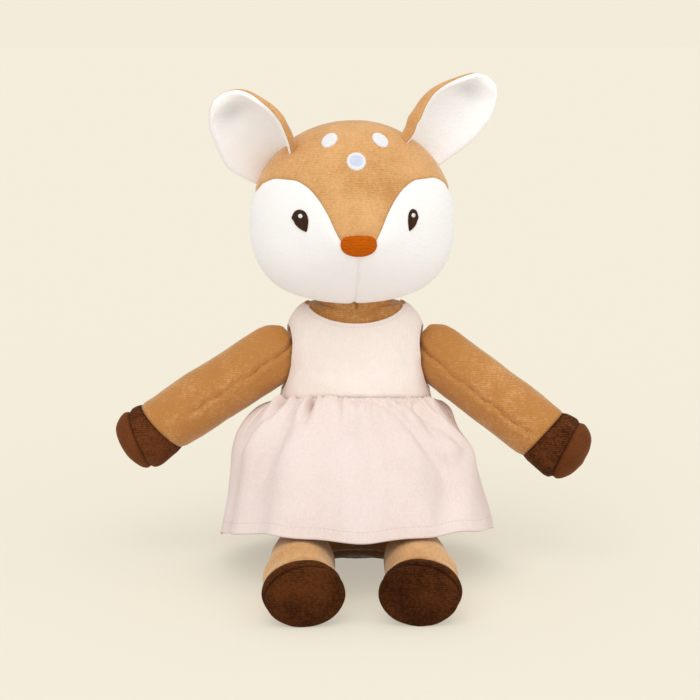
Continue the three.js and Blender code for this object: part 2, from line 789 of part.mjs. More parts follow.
const waistUpAt = (y) => waist.up - waist.slope * (y - torsoRow(waist.up, 0).back);

// Everything below the tilted waist seam
function belowWaist(shift) {
  const block = box(new THREE.Vector3(-reach, -reach, -reach), new THREE.Vector3(reach, reach, 0));
  const back = torsoRow(waist.up, 0).back;
  return solid(block.rotateX(-Math.atan(waist.slope)).translate(0, back, waist.up + shift));
}

// The scoop of the neckline, seen from the front or from behind
function scoop(drop, from, to) {
  const top = torso.height + overrun;
  const shape = new THREE.Shape();
  shape.moveTo(-neckline.halfWidth, top);
  shape.lineTo(-neckline.halfWidth, torso.height);
  const low = torso.height - drop * (1 + neckTopShare);
  shape.bezierCurveTo(
    -neckline.halfWidth * neckTopShare, low,
    neckline.halfWidth * neckTopShare, low,
    neckline.halfWidth, torso.height,
  );
  shape.lineTo(neckline.halfWidth, top);
  const cut = new THREE.ExtrudeGeometry(shape, { depth: to - from, bevelEnabled: false, curveSegments: 8 });
  return solid(cut.rotateX(Math.PI / 2).translate(0, to, 0));
}

function clothLayer(from, to) {
  return torsoForm(to, torso.columns, to).subtract(torsoForm(from, torso.columns, overrun));
}

function makeBodice() {
  const seam = sideSeam.back;
  const holes = Object.values(sides).map((side) => {
    const centre = shoulder(side);
    const hole = new THREE.CylinderGeometry(armhole.radius, armhole.radius, torso.halfWidth, 20);
    hole.rotateZ(Math.PI / 2).translate(centre.x, centre.y + armhole.forward, armhole.up);
    return solid(hole);
  });
  const cuts = holes.reduce((all, hole) => all.add(hole))
    .add(belowWaist(gap))
    .add(scoop(neckline.frontDrop, -reach, seam))
    .add(scoop(neckline.backDrop, seam, reach));
  const region = (low, high) => solid(box(low, high));
  const inFront = region(
    new THREE.Vector3(-reach, -reach, -reach),
    new THREE.Vector3(reach, seam - gap / 2, reach),
  );
  const behind = (fromX, toX) => region(
    new THREE.Vector3(fromX, seam + gap / 2, -reach),
    new THREE.Vector3(toX, reach, reach),
  );
  const worn = clothLayer(gap, gap + cotton).subtract(cuts);
  const stripAt = gap + cotton + gap;
  const lapAt = stripAt + 2 * closure.stripThick + 2 * gap;
  const over = clothLayer(lapAt, lapAt + cotton).subtract(cuts);
  const step = clothLayer(gap, lapAt + cotton).subtract(cuts);
  const lapEnd = closure.lap + cotton + gap;
  add(deer, 'bodice_front', worn.intersect(inFront), 'dress');
  add(deer, 'bodice_back_left', worn.intersect(behind(-closure.lap, reach)), 'dress');
  const right = worn.intersect(behind(-reach, -lapEnd))
    .add(step.intersect(behind(-lapEnd - cotton, -lapEnd)))
    .add(over.intersect(behind(-lapEnd - cotton / 2, closure.lap)));
  add(deer, 'bodice_back_right', right, 'dress');
  const stripRegion = region(
    new THREE.Vector3(-closure.stripHalfWidth, seam, closure.bottomUp),
    new THREE.Vector3(closure.stripHalfWidth, reach, closure.topUp),
  );
  const strip = (from) => clothLayer(from, from + closure.stripThick).intersect(stripRegion);
  add(deer, 'closure_loop_strip', strip(stripAt), 'strip');
  add(deer, 'closure_hook_strip', strip(stripAt + closure.stripThick + gap), 'strip');
}

// A point of the skirt: angle round from the front, and share of the way down
function skirtPoint(angle, down) {
  const last = skirtShares.length - 1;
  const place = THREE.MathUtils.clamp(down, -0.1, 1.1) * last;
  const i = THREE.MathUtils.clamp(Math.floor(place), 0, last - 1);
  const pick = (table, k) => {
    const value = (row) => (k === undefined ? table[row] : table[row][k]);
    return THREE.MathUtils.lerp(value(i), value(i + 1), place - i);
  };
  const [sin, cos] = [Math.sin(angle), Math.cos(angle)];
  const ahead = Math.max(0, cos);
  const behind = Math.max(0, -cos);
  const row = torsoRow(waist.up, gap + cotton);
  const top = new THREE.Vector3(row.x * sin, row.back - row.y * cos, 0);
  top.z = waistUpAt(top.y);
  const hemUp = skirt.sideUp
    + (skirt.frontUp - skirt.sideUp) * Math.pow(ahead, 0.8) * (1 + lapLiftShare * Math.sin(2 * angle) ** 2)
    + (skirt.backUp - skirt.sideUp) * behind;
  const aside = THREE.MathUtils.lerp(pick(skirtShares, 1), pick(skirtShares, 2), (1 + sin) / 2);
  const out = THREE.MathUtils.lerp(aside, pick(skirtShares, 3), ahead * ahead);
  const fold = skirt.foldDepth * pick(foldDownShares) * Math.cos(skirt.folds * angle);
  return new THREE.Vector3(
    THREE.MathUtils.lerp(top.x, skirt.halfWidth * sin, out) + fold * sin,
    THREE.MathUtils.lerp(top.y, skirt.forward - skirt.halfDepth * cos, out) - fold * cos,
    THREE.MathUtils.lerp(top.z, hemUp, pick(skirtShares, 0)),
  );
}

function makeSkirt() {
  const outward = (here) => new THREE.Vector3(here.x, here.y - skirt.forward, torso.height / 4);
  const panel = (from, to) => sheet(
    skirt.columns,
    skirtShares.length - 1,
    (u, v, depth) => offSurface(
      (a, b) => skirtPoint(a, b),
      THREE.MathUtils.lerp(from, to, u),
      v,
      depth,
      outward,
    ),
    0,
    -cotton,
  );
  const seam = gap / skirt.halfWidth;
  const clear = torsoForm(gap, torso.columns, overrun);
  const quarter = Math.PI / 2;
  add(deer, 'skirt_front', panel(-quarter + seam, quarter - seam).subtract(clear), 'dress');
  add(deer, 'skirt_back', panel(quarter + seam, 3 * quarter - seam).subtract(clear), 'dress');
}

makeTorso();
makeNeck();
makeHead();
for (const [name, side] of Object.entries(sides)) {
  makeArm(name, side);
  makeLeg(name, side);
}
makeBodice();
makeSkirt();

export default deer;
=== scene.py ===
import json
import math

import bpy
import numpy as np
from bpy.props import FloatProperty, FloatVectorProperty, PointerProperty
from bpy.types import Operator, Panel, PropertyGroup
from mathutils import Euler, Matrix, Vector, kdtree, noise

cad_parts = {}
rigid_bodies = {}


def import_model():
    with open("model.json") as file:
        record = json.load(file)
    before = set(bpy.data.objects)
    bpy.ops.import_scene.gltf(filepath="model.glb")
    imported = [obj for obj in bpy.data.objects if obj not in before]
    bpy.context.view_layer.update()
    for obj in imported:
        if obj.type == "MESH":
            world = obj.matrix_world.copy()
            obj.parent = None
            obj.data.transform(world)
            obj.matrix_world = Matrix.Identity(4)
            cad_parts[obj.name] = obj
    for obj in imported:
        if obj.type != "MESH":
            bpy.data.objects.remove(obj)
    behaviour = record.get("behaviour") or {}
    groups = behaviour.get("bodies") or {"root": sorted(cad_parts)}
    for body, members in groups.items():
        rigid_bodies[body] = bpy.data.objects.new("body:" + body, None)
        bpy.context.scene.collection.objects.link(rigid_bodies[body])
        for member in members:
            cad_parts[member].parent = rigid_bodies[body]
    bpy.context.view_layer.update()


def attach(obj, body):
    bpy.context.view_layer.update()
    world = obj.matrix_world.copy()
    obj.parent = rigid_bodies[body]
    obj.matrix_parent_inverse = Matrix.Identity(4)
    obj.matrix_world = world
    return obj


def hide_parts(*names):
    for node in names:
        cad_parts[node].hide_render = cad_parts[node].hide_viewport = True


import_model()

bl_info = {
    "name": "Plush deer",
    "version": (1, 0, 0),
    "blender": (4, 5, 0),
    "location": "View3D > Sidebar > Deer",
    "description": "Builds the sewn pieces of a seated plush deer in a cotton dress",
    "category": "Object",
}

# Lengths are in millimetres here, and pieces are scaled to metres as they are made.
# The deer faces -Y, its own left is +X, and it sits on z = 0.
TO_METRES = 0.001
SIDES = {"left": 1, "right": -1}
# The seam distance of a point that is on no seam
NO_SEAM = 99.0
# Depth and reach of each kind of seam, as shares of the scene's own seam depth and reach
SEAMS = {
    "cheek": (0.55, 1),
    "chin": (0.9, 0.8),
    "crown": (0.5, 1),
    "gusset": (1, 1),
    "side": (0.6, 1),
    "neck": (0.8, 1),
    "cuff": (0.8, 1),
    "hoof": (1.3, 0.9),
}

# How each kind of piece swells: depth as a share of the scene's unevenness and in millimetres,
# seed, and bumps in a millimetre
SWELLS = {
    "head": (0.8, 0, 3, 0.035),
    "head_fill": (0, 0.5, 21, 0.1),
    "ear_left": (0.5, 0, 31, 0.06),
    "ear_right": (0.5, 0, 37, 0.06),
    "pellets": (0, 0.3, 41, 0.4),
    "neck": (0.5, 0, 43, 0.08),
    "limb_left": (1, 0, 51, 0.05),
    "limb_right": (1, 0, 57, 0.05),
}
# Columns and rows of the grids of the large forms
GRIDS = {
    "head": (280, 170), "head_fill": (72, 44), "torso": (200, 150), "torso_fill": (64, 44),
    "limb": (110, 150), "limb_fill": (40, 44), "bodice": (300, 120),
}
# How far stuffing stays inside the plush round it
FILL_GAP = {"head": 1.6, "torso": 0.6, "limb": 2}
# How near to the line of a seam a point of the plush counts as on it
SEAM_BAND = {"crown": 0.7, "side": 0.6, "neck": 0.9}

TORSO = {
    "height": 147,
    "half_width": 46.5,
    "half_depth": 36,
    "lean_back": 14,
    "top_lift": 0.2,
    "top_share": 0.82,
}
# Height, half width, half depth and backward shift of the torso, as shares
TORSO_ROWS = [
    (0, 0.56, 0.5, 0.24), (0.03, 0.77, 0.74, 0.16), (0.085, 0.92, 0.91, 0.06), (0.18, 1, 1, -0.02),
    (0.32, 1, 1, 0), (0.48, 0.945, 0.93, 0), (0.635, 0.892, 0.861, 0), (0.76, 0.85, 0.79, 0),
    (0.87, 0.812, 0.72, 0), (0.932, 0.765, 0.666, 0), (0.967, 0.695, 0.62, 0),
    (0.987, 0.635, 0.585, 0), (1, 0.57, 0.555, 0),
]
GUSSET_HEIGHT = 8
# The hollow between the thighs
CROTCH = {"half_width": 17, "up": 26, "deep": 22}
PELLETS = {"half_width": 21, "half_depth": 14, "height": 12, "back": 8}
PLUSH_THICK = 1.9
COTTON_THICK = 1.2
# How much farther than a limb's root the torso stays away from it, and its stuffing beyond that
ROOT_ROOM = {"arm": 1, "leg": 2.6, "stuffing": 4}

HEAD = {
    "half_width": 56.8,
    "half_depth": 46,
    "crown_height": 55.5,
    "jaw_depth": 45.3,
    "muzzle_length": 14,
    "muzzle_half_width": 18,
    "muzzle_half_height": 17,
    "muzzle_drop": 4,
    "place": (-2, 4, 195),
    "turn": math.radians(1.8),
    "cheek_back": 8,
}
CROWN_POWER = 2.03
JAW_POWER = 2.6
# Upper edge of a cheek panel seen from the front, from the chin seam to the side
CHEEK_EDGE = [
    (0, -9), (4, -8), (9.4, -4.4), (12, 0), (16.2, 9), (21, 16.7), (26.6, 22.5), (33.3, 25.6),
    (41.8, 25.8), (49.8, 22.4), (54.5, 16.6), (62.5, 13.3),
]
NOSE = {"down": 6.2, "high": 1.9}
# Left half of the stitched nose's outline: across, and up from its middle
NOSE_HALF = [
    (0, 5.2), (4.4, 5), (7.4, 4.2), (9.2, 2.3), (9.6, 0), (8.8, -2.6), (6.8, -4.5), (3.8, -5.6), (1.2, -6),
]
EYE = {"across": 29.6, "up": 5, "high": 1.1}
EYE_WIDTH = {"left": 0.67, "right": 0.98}
# Outline of the stitched eye: outward from the nose, and up
EYE_OUTLINE = [
    (0.9, 5.8), (-1, 5.4), (-2.5, 4.2), (-3.4, 2.2), (-3.7, -0.2), (-3.4, -3), (-2.5, -5.8), (-1, -5.3),
    (1.1, -4.2), (3, -2.5), (4.2, -0.4), (5.2, 1), (4.7, 2.4), (4.1, 3.8), (2.8, 5.1),
]
OUTLINE_POINTS = 120
GLINT = {"half_size": 1.25, "up": 2.3, "high": 0.5}
SIDE_SPOT = {"half_width": 4.8, "half_height": 2.9, "across": 13.7, "up": 46, "high": 1, "tilt": 0.55}
MID_SPOT = {"half_width": 5.2, "half_height": 4.5, "up": 35.7, "high": 1}

EAR = {
    "half_width": 19.5,
    "back_thick": 2.2,
    "lining_thick": 5,
    "hollow_share": 0.22,
    "root_lift": 1.4,
    "round": math.radians(92),
    "columns": 110,
    "rows": 100,
}
EAR_LENGTH = {"left": 52, "right": 48}
EAR_SEAT = {"left": 0.65, "right": 0.6}
EAR_RISE = {"left": math.radians(50), "right": math.radians(53)}
EAR_BACK = {"left": math.radians(4), "right": math.radians(-24)}
EAR_OPEN = {"left": math.radians(8), "right": math.radians(10)}
EAR_CURL_POWER = {"left": 2.6, "right": 2.4}
# Painted shade in an ear's hollow under the rim: where it lies, as shares, and how strongly
EAR_HOLLOW_SHADE = {"across": {"left": 0.58, "right": 0.42}, "up": 0.77, "wide": 0.3, "tall": 0.14, "share": 0.7}
# Up an ear: share of the length, widths of the outer and inner part as shares of the half
# width, and how far the cloth turns forwards at the outer and at the inner edge, in degrees
EAR_ROWS = {
    "left": [
        (-0.3, 0.2, 1.4, 8, 115), (0, 0.42, 1.7, 10, 136), (0.13, 0.52, 1.9, 12, 134),
        (0.28, 0.62, 1.9, 14, 122), (0.44, 0.68, 1.78, 16, 108), (0.6, 0.68, 1.48, 16, 92),
        (0.75, 0.6, 1.1, 14, 74), (0.88, 0.44, 0.73, 12, 52), (0.96, 0.28, 0.46, 10, 26),
        (1, 0.12, 0.2, 6, 10),
    ],
    "right": [
        (-0.3, 0.55, 1.3, 10, 118), (0, 0.86, 1.44, 14, 142), (0.13, 0.98, 1.6, 16, 136),
        (0.28, 1.04, 1.68, 18, 128), (0.44, 0.98, 1.68, 18, 120), (0.6, 0.88, 1.56, 16, 110),
        (0.75, 0.76, 1.26, 14, 92), (0.88, 0.54, 0.88, 12, 64), (0.96, 0.34, 0.54, 10, 34),
        (1, 0.15, 0.22, 6, 10),
    ],
}

NECK = {"radius": 22, "lift": 5, "sunk": 2}

ARM = {
    "length": 102,
    "radius": 17,
    "root_radius": 13.2,
    "root_out": 7.5,
    "root_up": 118.4,
    "root_forward": -3,
    "end_length": 11,
    "end_slope": 0.2,
}
HAND_HOOF_LENGTH = {"left": 27, "right": 26}
FRONT_SEAM_END = {"left": 68, "right": 56}
HAND_HOOF_TILT = {"left": math.radians(-5), "right": math.radians(-10)}
# Along an arm: distance from the shoulder, half width and half height, as shares
ARM_ROWS = [
    (-0.138, 0, 0), (-0.13, 0.24, 0.58), (-0.09, 0.5, 0.83), (-0.04, 0.64, 0.98), (0.01, 0.76, 1.02),
    (0.08, 0.85, 1.01), (0.18, 0.95, 1.01), (0.36, 1, 1.01), (0.56, 1, 1.02), (0.72, 0.98, 0.99),
    (0.79, 1.02, 1.03), (0.87, 1.07, 1.08), (0.93, 0.96, 0.98), (0.97, 0.74, 0.76),
    (0.995, 0.36, 0.38), (1.003, 0, 0),
]
ARM_DROP = {"left": math.radians(35), "right": math.radians(33)}
ARM_FORWARD = {"left": math.radians(17), "right": 0}

LEG = {
    "length": 84,
    "radius": 17.2,
    "root_radius": 12.4,
    "root_across": 31,
    "root_forward": -33,
    "root_up": 16.7,
    "hoof_length": 15,
    "sole_length": 6,
    "hoof_tilt": math.radians(-10),
    "splay": math.radians(-1),
}
# How the edges of a foot's band and sole lean outward and back
HOOF_LEAN = 0.18
SOLE_LEAN = {"out": 0.17, "back": 0.22}
# How far the plush above a foot's hoof stands out on its outer side, and where, as shares
ANKLE = {"bulge": 4.6, "at": 0.66, "reach": 0.22}
LEG_ROWS = [
    (-0.145, 0, 0), (-0.13, 0.3, 0.3), (-0.08, 0.6, 0.6), (0.022, 0.78, 0.78), (0.14, 0.9, 0.9),
    (0.32, 1, 1), (0.55, 1, 1), (0.74, 0.96, 0.96), (0.83, 1.06, 0.98), (0.89, 1.19, 1),
    (0.945, 1.23, 1), (0.98, 1.17, 0.93), (1.002, 0.93, 0.74), (1.018, 0.55, 0.44), (1.024, 0, 0),
]
# How much smaller than its root a limb's gathered end is
ROOT_SHRINK = 3.6

WAIST = {"up": 91.3, "slope": 0.25, "tuck": 0.7}
NECKLINE = {"half_width": 27, "front_drop": 6.3, "back_drop": 6, "steep": 0.62}
# The lower half of an armhole is deeper and squarer, which leaves the arm room to swing
ARMHOLE = {
    "half_depth": 11.7, "half_height": 17.2, "low_height": 19.2, "low_power": 3.2, "up": 118, "back": 9.5,
}
SIDE_SEAM_BACK = 10
# How far the bodice lies off the torso, its slack and how far inside its edges that begins, how
# far the waist and the arms press it in, the height that it is cut from, and the weave's radius
BODICE = {
    "grow": 1.9,
    "slack": 0.6,
    "loose_in": 8,
    "loose_up": 10,
    "lift": 0.3,
    "waist_press": 0.8,
    "waist_reach": 1.5,
    "arm_press": 0.9,
    "arm_reach": 5,
    "cut_low": 70,
    "cloth_radius": 37,
}
# Layers of the bodice's slack: bumps in a millimetre, seed and height
SLACK = [(0.06, 61, 1), (0.14, 62, 0.5)]
CLOSURE = {"lap": 6, "half_width": 4, "bottom": 101, "top": 134, "thick": 0.8}
# How many torso half widths the flat front and a flat back of the bodice are wide
FLAT_SHARES = {"front": 2.6, "back_left": 1.5, "back_right": 1.5}
SKIRT = {
    "half_width": 77,
    "half_depth": 70,
    "forward": -14,
    "front_up": 35,
    "left_up": 22,
    "right_up": 20,
    "back_up": 5,
    "fold_depth": 1.8,
    "drape": 3.4,
    "folds": 12,
    "rows": 128,
    "columns": 398,
    "spare": 18,
    "flat_width": 0.26,
    "cloth_radius": 62,
    "hem_reach": 40,
    "lift": 0.4,
    "gather_share": 1.9,
}
LAP_LIFT = 0.25
# Layers of the skirt's gathers, drape and soft bumps: bumps round it, seed and height
GATHERS = [(13, 71, 1), (26, 72, 0.6)]
DRAPE = [(2.6, 75, 1), (5.5, 76, 0.4)]
SOFT = [(3.2, 73, 1.4)]
# Down the skirt: height, and how far out it stands on the right, on the left and in front
SKIRT_ROWS = [
    (0, 0, 0, 0, 0.2), (0.02, 0.28, 0.08, 0.15, 0.9), (0.09, 0.52, 0.24, 0.28, 1),
    (0.21, 0.7, 0.43, 0.42, 0.9), (0.35, 0.8, 0.66, 0.56, 0.75), (0.52, 0.84, 0.74, 0.7, 0.7),
    (0.69, 0.88, 0.82, 0.81, 0.7), (0.85, 0.94, 0.91, 0.91, 0.75), (1, 1, 0.985, 1, 0.85),
]
# Pressed pleats under the waist seam: angle round from the front and width in degrees,
# depth, and where down the skirt each fades out
PLEATS = [
    (-31, 3.4, 8, 0.4), (-60, 5.5, 7, 0.26), (-47, 5, 1.2, 0.5), (-12, 4, 1.2, 0.42),
    (9, 4.5, 1.3, 0.5), (27, 3, 1.6, 0.34), (44, 4, 1.4, 0.45), (72, 6, 4.4, 0.3),
    (-88, 5, 2, 0.35), (112, 5, 2.2, 0.4), (137, 4, 2, 0.45), (163, 5, 2.2, 0.4),
    (-114, 5, 2.2, 0.4), (-140, 4, 2, 0.45), (-166, 5, 2.2, 0.4),
]
# Soft slanting folds: angle and share of the way down at the start and at the end, depth and
# half width in degrees
SLANTS = [
    (12, 0.02, 46, 0.6, 2.4, 5), (30, 0.02, 64, 0.5, 1.8, 4.5), (62, 0.45, 34, 1, 2, 8),
    (-34, 0.2, -62, 0.9, 1.5, 6), (-8, 0.15, 6, 1, 1.2, 7), (-52, 0.05, -74, 0.5, 2, 5),
    (128, 0.1, 150, 0.9, 1.8, 7), (-126, 0.1, -150, 0.9, 1.8, 7),
]
# Where the skirt puffs out: angle, share of the way down, half widths of both, and height
PUFFS = [
    (102, 0.22, 12, 0.1, 6), (-70, 0.06, 9, 0.06, 2.4), (-44, 0.06, 9, 0.07, 2.2),
    (-20, 0.07, 8, 0.08, 1.8), (60, 0.08, 9, 0.08, 1.8), (37, 1, 13, 0.13, 2.1),
]

CAMERA = {"target": (-3.5, -4, 123), "range": 1000, "azimuth": -1.5, "elevation": 11}
FOCAL_PIXELS = 1786
PICTURE_PIXELS = 700
SENSOR = 36
FLOOR_HALF = 12
# Share of the floor's own pale glow that softens the shadow on it
FLOOR_LIFT = 0.5
SKY = {"tint": (1, 0.995, 0.99, 1), "strength": 0.66}
# Each lamp's name and strength, and its spread, tilt and turn in degrees
LAMPS = [("key", 1.0, 50, 38, -22), ("fill", 0.62, 80, 55, 48)]

# Bumps in a metre of each layer of a material's noise
PLUSH_GRAIN = {"cloud": 30, "patch": 120, "wander": 170, "fray": 420}
SATIN_GRAIN = {"wobble": 300, "strand": 700}
COTTON_GRAIN = {"wobble": 240, "fleck": 800, "slub": 420, "cloud": 24, "crease": 75}
FIBRE_GRAIN = 380
STITCH_LENGTH = 2.1


def linear(red, green, blue):
    """The scene colour of a colour given in the 0 to 255 steps of a screen."""
    def one(step):
        value = step / 255
        return value / 12.92 if value <= 0.04045 else ((value + 0.055) / 1.055) ** 2.4
    return (one(red), one(green), one(blue))


def colour(name, description, default):
    return FloatVectorProperty(
        name=name, description=description, subtype="COLOR", size=3, min=0, max=1, default=linear(*default),
    )


def amount(name, description, default, low, high):
    return FloatProperty(name=name, description=description, default=default, min=low, max=high)


class DeerColours(PropertyGroup):
    tan: colour("Tan plush", "Plush of the head, ears, legs and torso", (229, 178, 120))
    tan_deep: colour("Tan plush, nap", "The same plush seen against its nap", (186, 127, 67))
    white: colour("White plush", "Plush of the cheeks and ear linings", (253, 250, 247))
    white_deep: colour("White plush, nap", "White plush seen against its nap", (250, 246, 242))
    brown: colour("Brown plush", "Plush of the hooves", (94, 50, 20))
    # Painted light: a lighter copy of the brown plush, for the light that the hand hooves catch
    brown_light: colour("Brown plush, hand", "Brown plush at the ends of the hand hooves", (112, 62, 32))
    brown_deep: colour("Brown plush, nap", "Brown plush seen against its nap", (44, 18, 3))
    nose: colour("Nose thread", "Satin stitches of the nose", (212, 100, 0))
    eye: colour("Eye thread", "Satin stitches of the eyes", (74, 48, 33))
    thread: colour("Light thread", "Stitches of the spots and the glints", (247, 245, 246))
    spot: colour("Cool thread", "Middle of the round spot", (214, 221, 240))
    dress: colour("Bodice cotton", "Cloth of the bodice", (250, 238, 230))
    dress_deep: colour("Bodice cotton, shade", "Threads that lie deeper in the bodice", (238, 221, 208))
    skirt: colour("Skirt cotton", "Cloth of the skirt", (240, 225, 219))
    skirt_deep: colour("Skirt cotton, shade", "Threads that lie deeper in the skirt", (225, 204, 192))
    fill: colour("Stuffing", "Fibre that fills the pieces", (242, 240, 234))
    tape: colour("Closure tape", "Hook and loop strips", (240, 234, 226))
    floor: colour("Floor", "Floor and backdrop", (243, 236, 218))
    bounce: colour("Floor bounce", "Floor as the deer's surfaces see it", (238, 236, 232))


class DeerSizes(PropertyGroup):
    seam_depth: amount("Seam depth", "How far a seam pulls the plush in, in millimetres", 1.1, 0, 4)
    seam_reach: amount("Seam reach", "Half width of the groove at a seam, in millimetres", 1.7, 0.2, 8)
    unevenness: amount(
        "Unevenness", "How far the stuffing pushes the plush in and out, in millimetres", 0.55, 0, 3,
    )
    pile_grain: amount("Pile grain", "Tufts of pile in one metre", 640, 50, 4000)
    knit_pitch: amount("Knit pitch", "Distance between two rows of knit, in millimetres", 1.15, 0.2, 6)
    weave_pitch: amount(
        "Weave pitch", "Distance between two threads of the dress cloth, in millimetres", 0.85, 0.1, 4,
    )
    gather: amount("Gather", "Depth of the gathers under the waist seam, in millimetres", 0.9, 0, 4)


# Surfaces


def unit(value):
    return np.clip(value, 0, 1)


def bell(value):
    """1 where the value is zero, with a smooth fall to 0 on both sides."""
    return np.exp(-(value ** 2))


def angles_round(columns):
    return np.linspace(0, 2 * math.pi, columns, endpoint=False)


def smooth_rows(rows, count):
    """Rows of a smooth curve through the given rows, evenly spaced along it."""
    table = np.array(rows, float)
    steps = np.linalg.norm(np.diff(table[:, :3], axis=0), axis=1)
    at = np.concatenate([[0], np.cumsum(steps)])
    return smooth_curve(at, table, np.linspace(0, at[-1], count))


def smooth_curve(at, values, wanted):
    """A monotone cubic curve through values at rising places, read at the wanted places."""
    at = np.asarray(at, float)
    values = np.asarray(values, float)
    flat = values.ndim == 1
    if flat:
        values = values[:, None]
    step = np.diff(at)[:, None]
    slope = np.diff(values, axis=0) / step
    tangent = np.zeros_like(values)
    before, after = slope[:-1], slope[1:]
    same = before * after > 0
    mean = 2 * before * after / np.where(same, before + after, 1)
    tangent[1:-1] = np.where(same, mean, 0)
    tangent[0], tangent[-1] = slope[0], slope[-1]
    place = np.clip(np.searchsorted(at, wanted, side="right") - 1, 0, len(at) - 2)
    t = unit(((np.asarray(wanted) - at[place]) / step[place, 0])[:, None])
    h = step[place]
    made = (
        values[place] * (1 + 2 * t) * (1 - t) ** 2
        + tangent[place] * h * t * (1 - t) ** 2
        + values[place + 1] * t * t * (3 - 2 * t)
        + tangent[place + 1] * h * t * t * (t - 1)
    )
    return made[:, 0] if flat else made


class Surface:
    """Triangles in millimetres: each row of data is a point, its normal and its place on the cloth."""

    def __init__(self, data, faces, seam=None):
        self.data = data
        self.faces = faces
        self.seam = np.full(len(data), NO_SEAM) if seam is None else seam
        # Share of painted shade at each point, for the pieces that carry it
        self.nap = None

    @classmethod
    def through(cls, points, faces, cloth=None):
        points = np.asarray(points, float).reshape(-1, 3)
        cloth = np.zeros((len(points), 2)) if cloth is None else np.asarray(cloth, float).reshape(-1, 2)
        made = cls(np.hstack([points, np.zeros((len(points), 3)), cloth]), np.asarray(faces, int))
        made.find_normals()
        return made

    def find_normals(self):
        p = self.data[:, :3]
        a, b, c = (p[self.faces[:, k]] for k in range(3))
        face = np.cross(b - a, c - a)
        total = np.zeros((len(p), 3))
        for k in range(3):
            np.add.at(total, self.faces[:, k], face)
        length = np.linalg.norm(total, axis=1, keepdims=True)
        self.data[:, 3:6] = total / np.where(length > 0, length, 1)

    @property
    def points(self):
        return self.data[:, :3]

    def clip(self, field, seam=None):
        """The part where field(points) is above zero, cut exactly along its zero line."""
        value = np.asarray(field(self.points), float)
        value = np.where(np.abs(value) < 1e-5, 1e-5, value)
        count = (value[self.faces] > 0).sum(1)
        made, seen, extra = [], {}, []

        def crossing(a, b):
            key = (min(a, b), max(a, b))
            if key not in seen:
                t = value[key[0]] / (value[key[0]] - value[key[1]])
                seen[key] = len(self.data) + len(extra)
                extra.append(self.data[key[0]] * (1 - t) + self.data[key[1]] * t)
            return seen[key]

        for triangle in self.faces[(count == 1) | (count == 2)]:
            polygon = []
            for k in range(3):
                a, b = int(triangle[k]), int(triangle[(k + 1) % 3])
                if value[a] > 0:
                    polygon.append(a)
                if (value[a] > 0) != (value[b] > 0):
                    polygon.append(crossing(a, b))
            made += [(polygon[0], polygon[k], polygon[k + 1]) for k in range(1, len(polygon) - 1)]
        data = np.vstack([self.data, np.array(extra).reshape(-1, 8)])
        faces = np.vstack([self.faces[count == 3], np.array(made, int).reshape(-1, 3)])
        if seam is not None:
            seam.extend(data[len(self.data):, :3])
        used, faces = np.unique(faces, return_inverse=True)
        return Surface(data[used], faces.reshape(-1, 3))

    def move(self, along_normal):
        self.data[:, :3] += self.data[:, 3:6] * np.asarray(along_normal)[:, None]

    def face(self, outward):
        """Turns the surface over if its normals run against the outward directions."""
        if np.sum(outward * self.data[:, 3:6]) < 0:
            self.faces = self.faces[:, ::-1]
            self.data[:, 3:6] *= -1
        return self

    def face_round(self, back):
        """Turns the surface away from the upright line that lies this far back."""
        return self.face((self.points - [0, back, 0]) * [1, 1, 0])

    def face_out(self):
        return self.face(self.points - self.points.mean(0))


def pole_grid(rings):
    """A closed surface through rings of points whose first and last ring are single points."""
    rings = np.asarray(rings, float)
    rows, columns = rings.shape[:2]
    points = np.vstack([rings[0, :1], rings[1:-1].reshape(-1, 3), rings[-1, :1]])
    last = len(points) - 1
    column = np.arange(columns)
    after = (column + 1) % columns
    faces = [np.stack([np.zeros(columns, int), 1 + after, 1 + column], 1)]
    end = 1 + (rows - 3) * columns
    faces.append(np.stack([np.full(columns, last), end + column, end + after], 1))
    for r in range(rows - 3):
        a, b = 1 + r * columns, 1 + (r + 1) * columns
        faces.append(np.stack([a + column, a + after, b + after], 1))
        faces.append(np.stack([a + column, b + after, b + column], 1))
    return Surface.through(points, np.vstack(faces)).face_out()


def open_grid(points, cloth):
    """A sheet through rows of points."""
    rows, columns = points.shape[:2]
    at = np.arange(rows * columns).reshape(rows, columns)
    a, b, c, d = (corner.ravel() for corner in (at[:-1, :-1], at[:-1, 1:], at[1:, 1:], at[1:, :-1]))
    return Surface.through(points, np.vstack([np.stack([a, b, c], 1), np.stack([a, c, d], 1)]), cloth)


def grid_part(surface, kept):
    """The part of a surface whose points are all kept, with its normals as they were."""
    place = np.cumsum(kept) - 1
    faces = place[surface.faces[kept[surface.faces].all(1)]]
    return Surface(surface.data[kept], faces, surface.seam[kept])


def thickened(surface, thick):
    """A sheet with an inner face and a rim, so that its edge shows the cloth's thickness."""
    count = len(surface.data)
    inner = surface.data.copy()
    inner[:, :3] -= inner[:, 3:6] * thick
    inner[:, 3:6] *= -1
    edges = [(int(corners[k]), int(corners[(k + 1) % 3])) for corners in surface.faces for k in range(3)]
    known = set(edges)
    rim = [(a, b) for a, b in edges if (b, a) not in known]
    faces = [surface.faces, surface.faces[:, ::-1] + count]
    faces.append(np.array([(b, a, a + count) for a, b in rim]))
    faces.append(np.array([(b, a + count, b + count) for a, b in rim]))
    return Surface(np.vstack([surface.data, inner]), np.vstack(faces), np.tile(surface.seam, 2))


def noise_at(points, grain, seed):
    """A smooth random height between about -1 and 1 at each point, with bumps 1 / grain apart."""
    shift = Vector((seed * 7.3, seed * 3.1, seed * 5.7))
    return np.array([noise.noise(Vector(p) * grain + shift) for p in points])


def waves(points, layers):
    """Noise in layers, each with its grain, seed and height."""
    return sum(height * noise_at(points, grain, seed) for grain, seed, height in layers)


def distance_to(points, seam):
    tree = kdtree.KDTree(len(seam))
    for i, p in enumerate(seam):
        tree.insert(p, i)
    tree.balance()
    return np.array([tree.find(p)[2] for p in points])


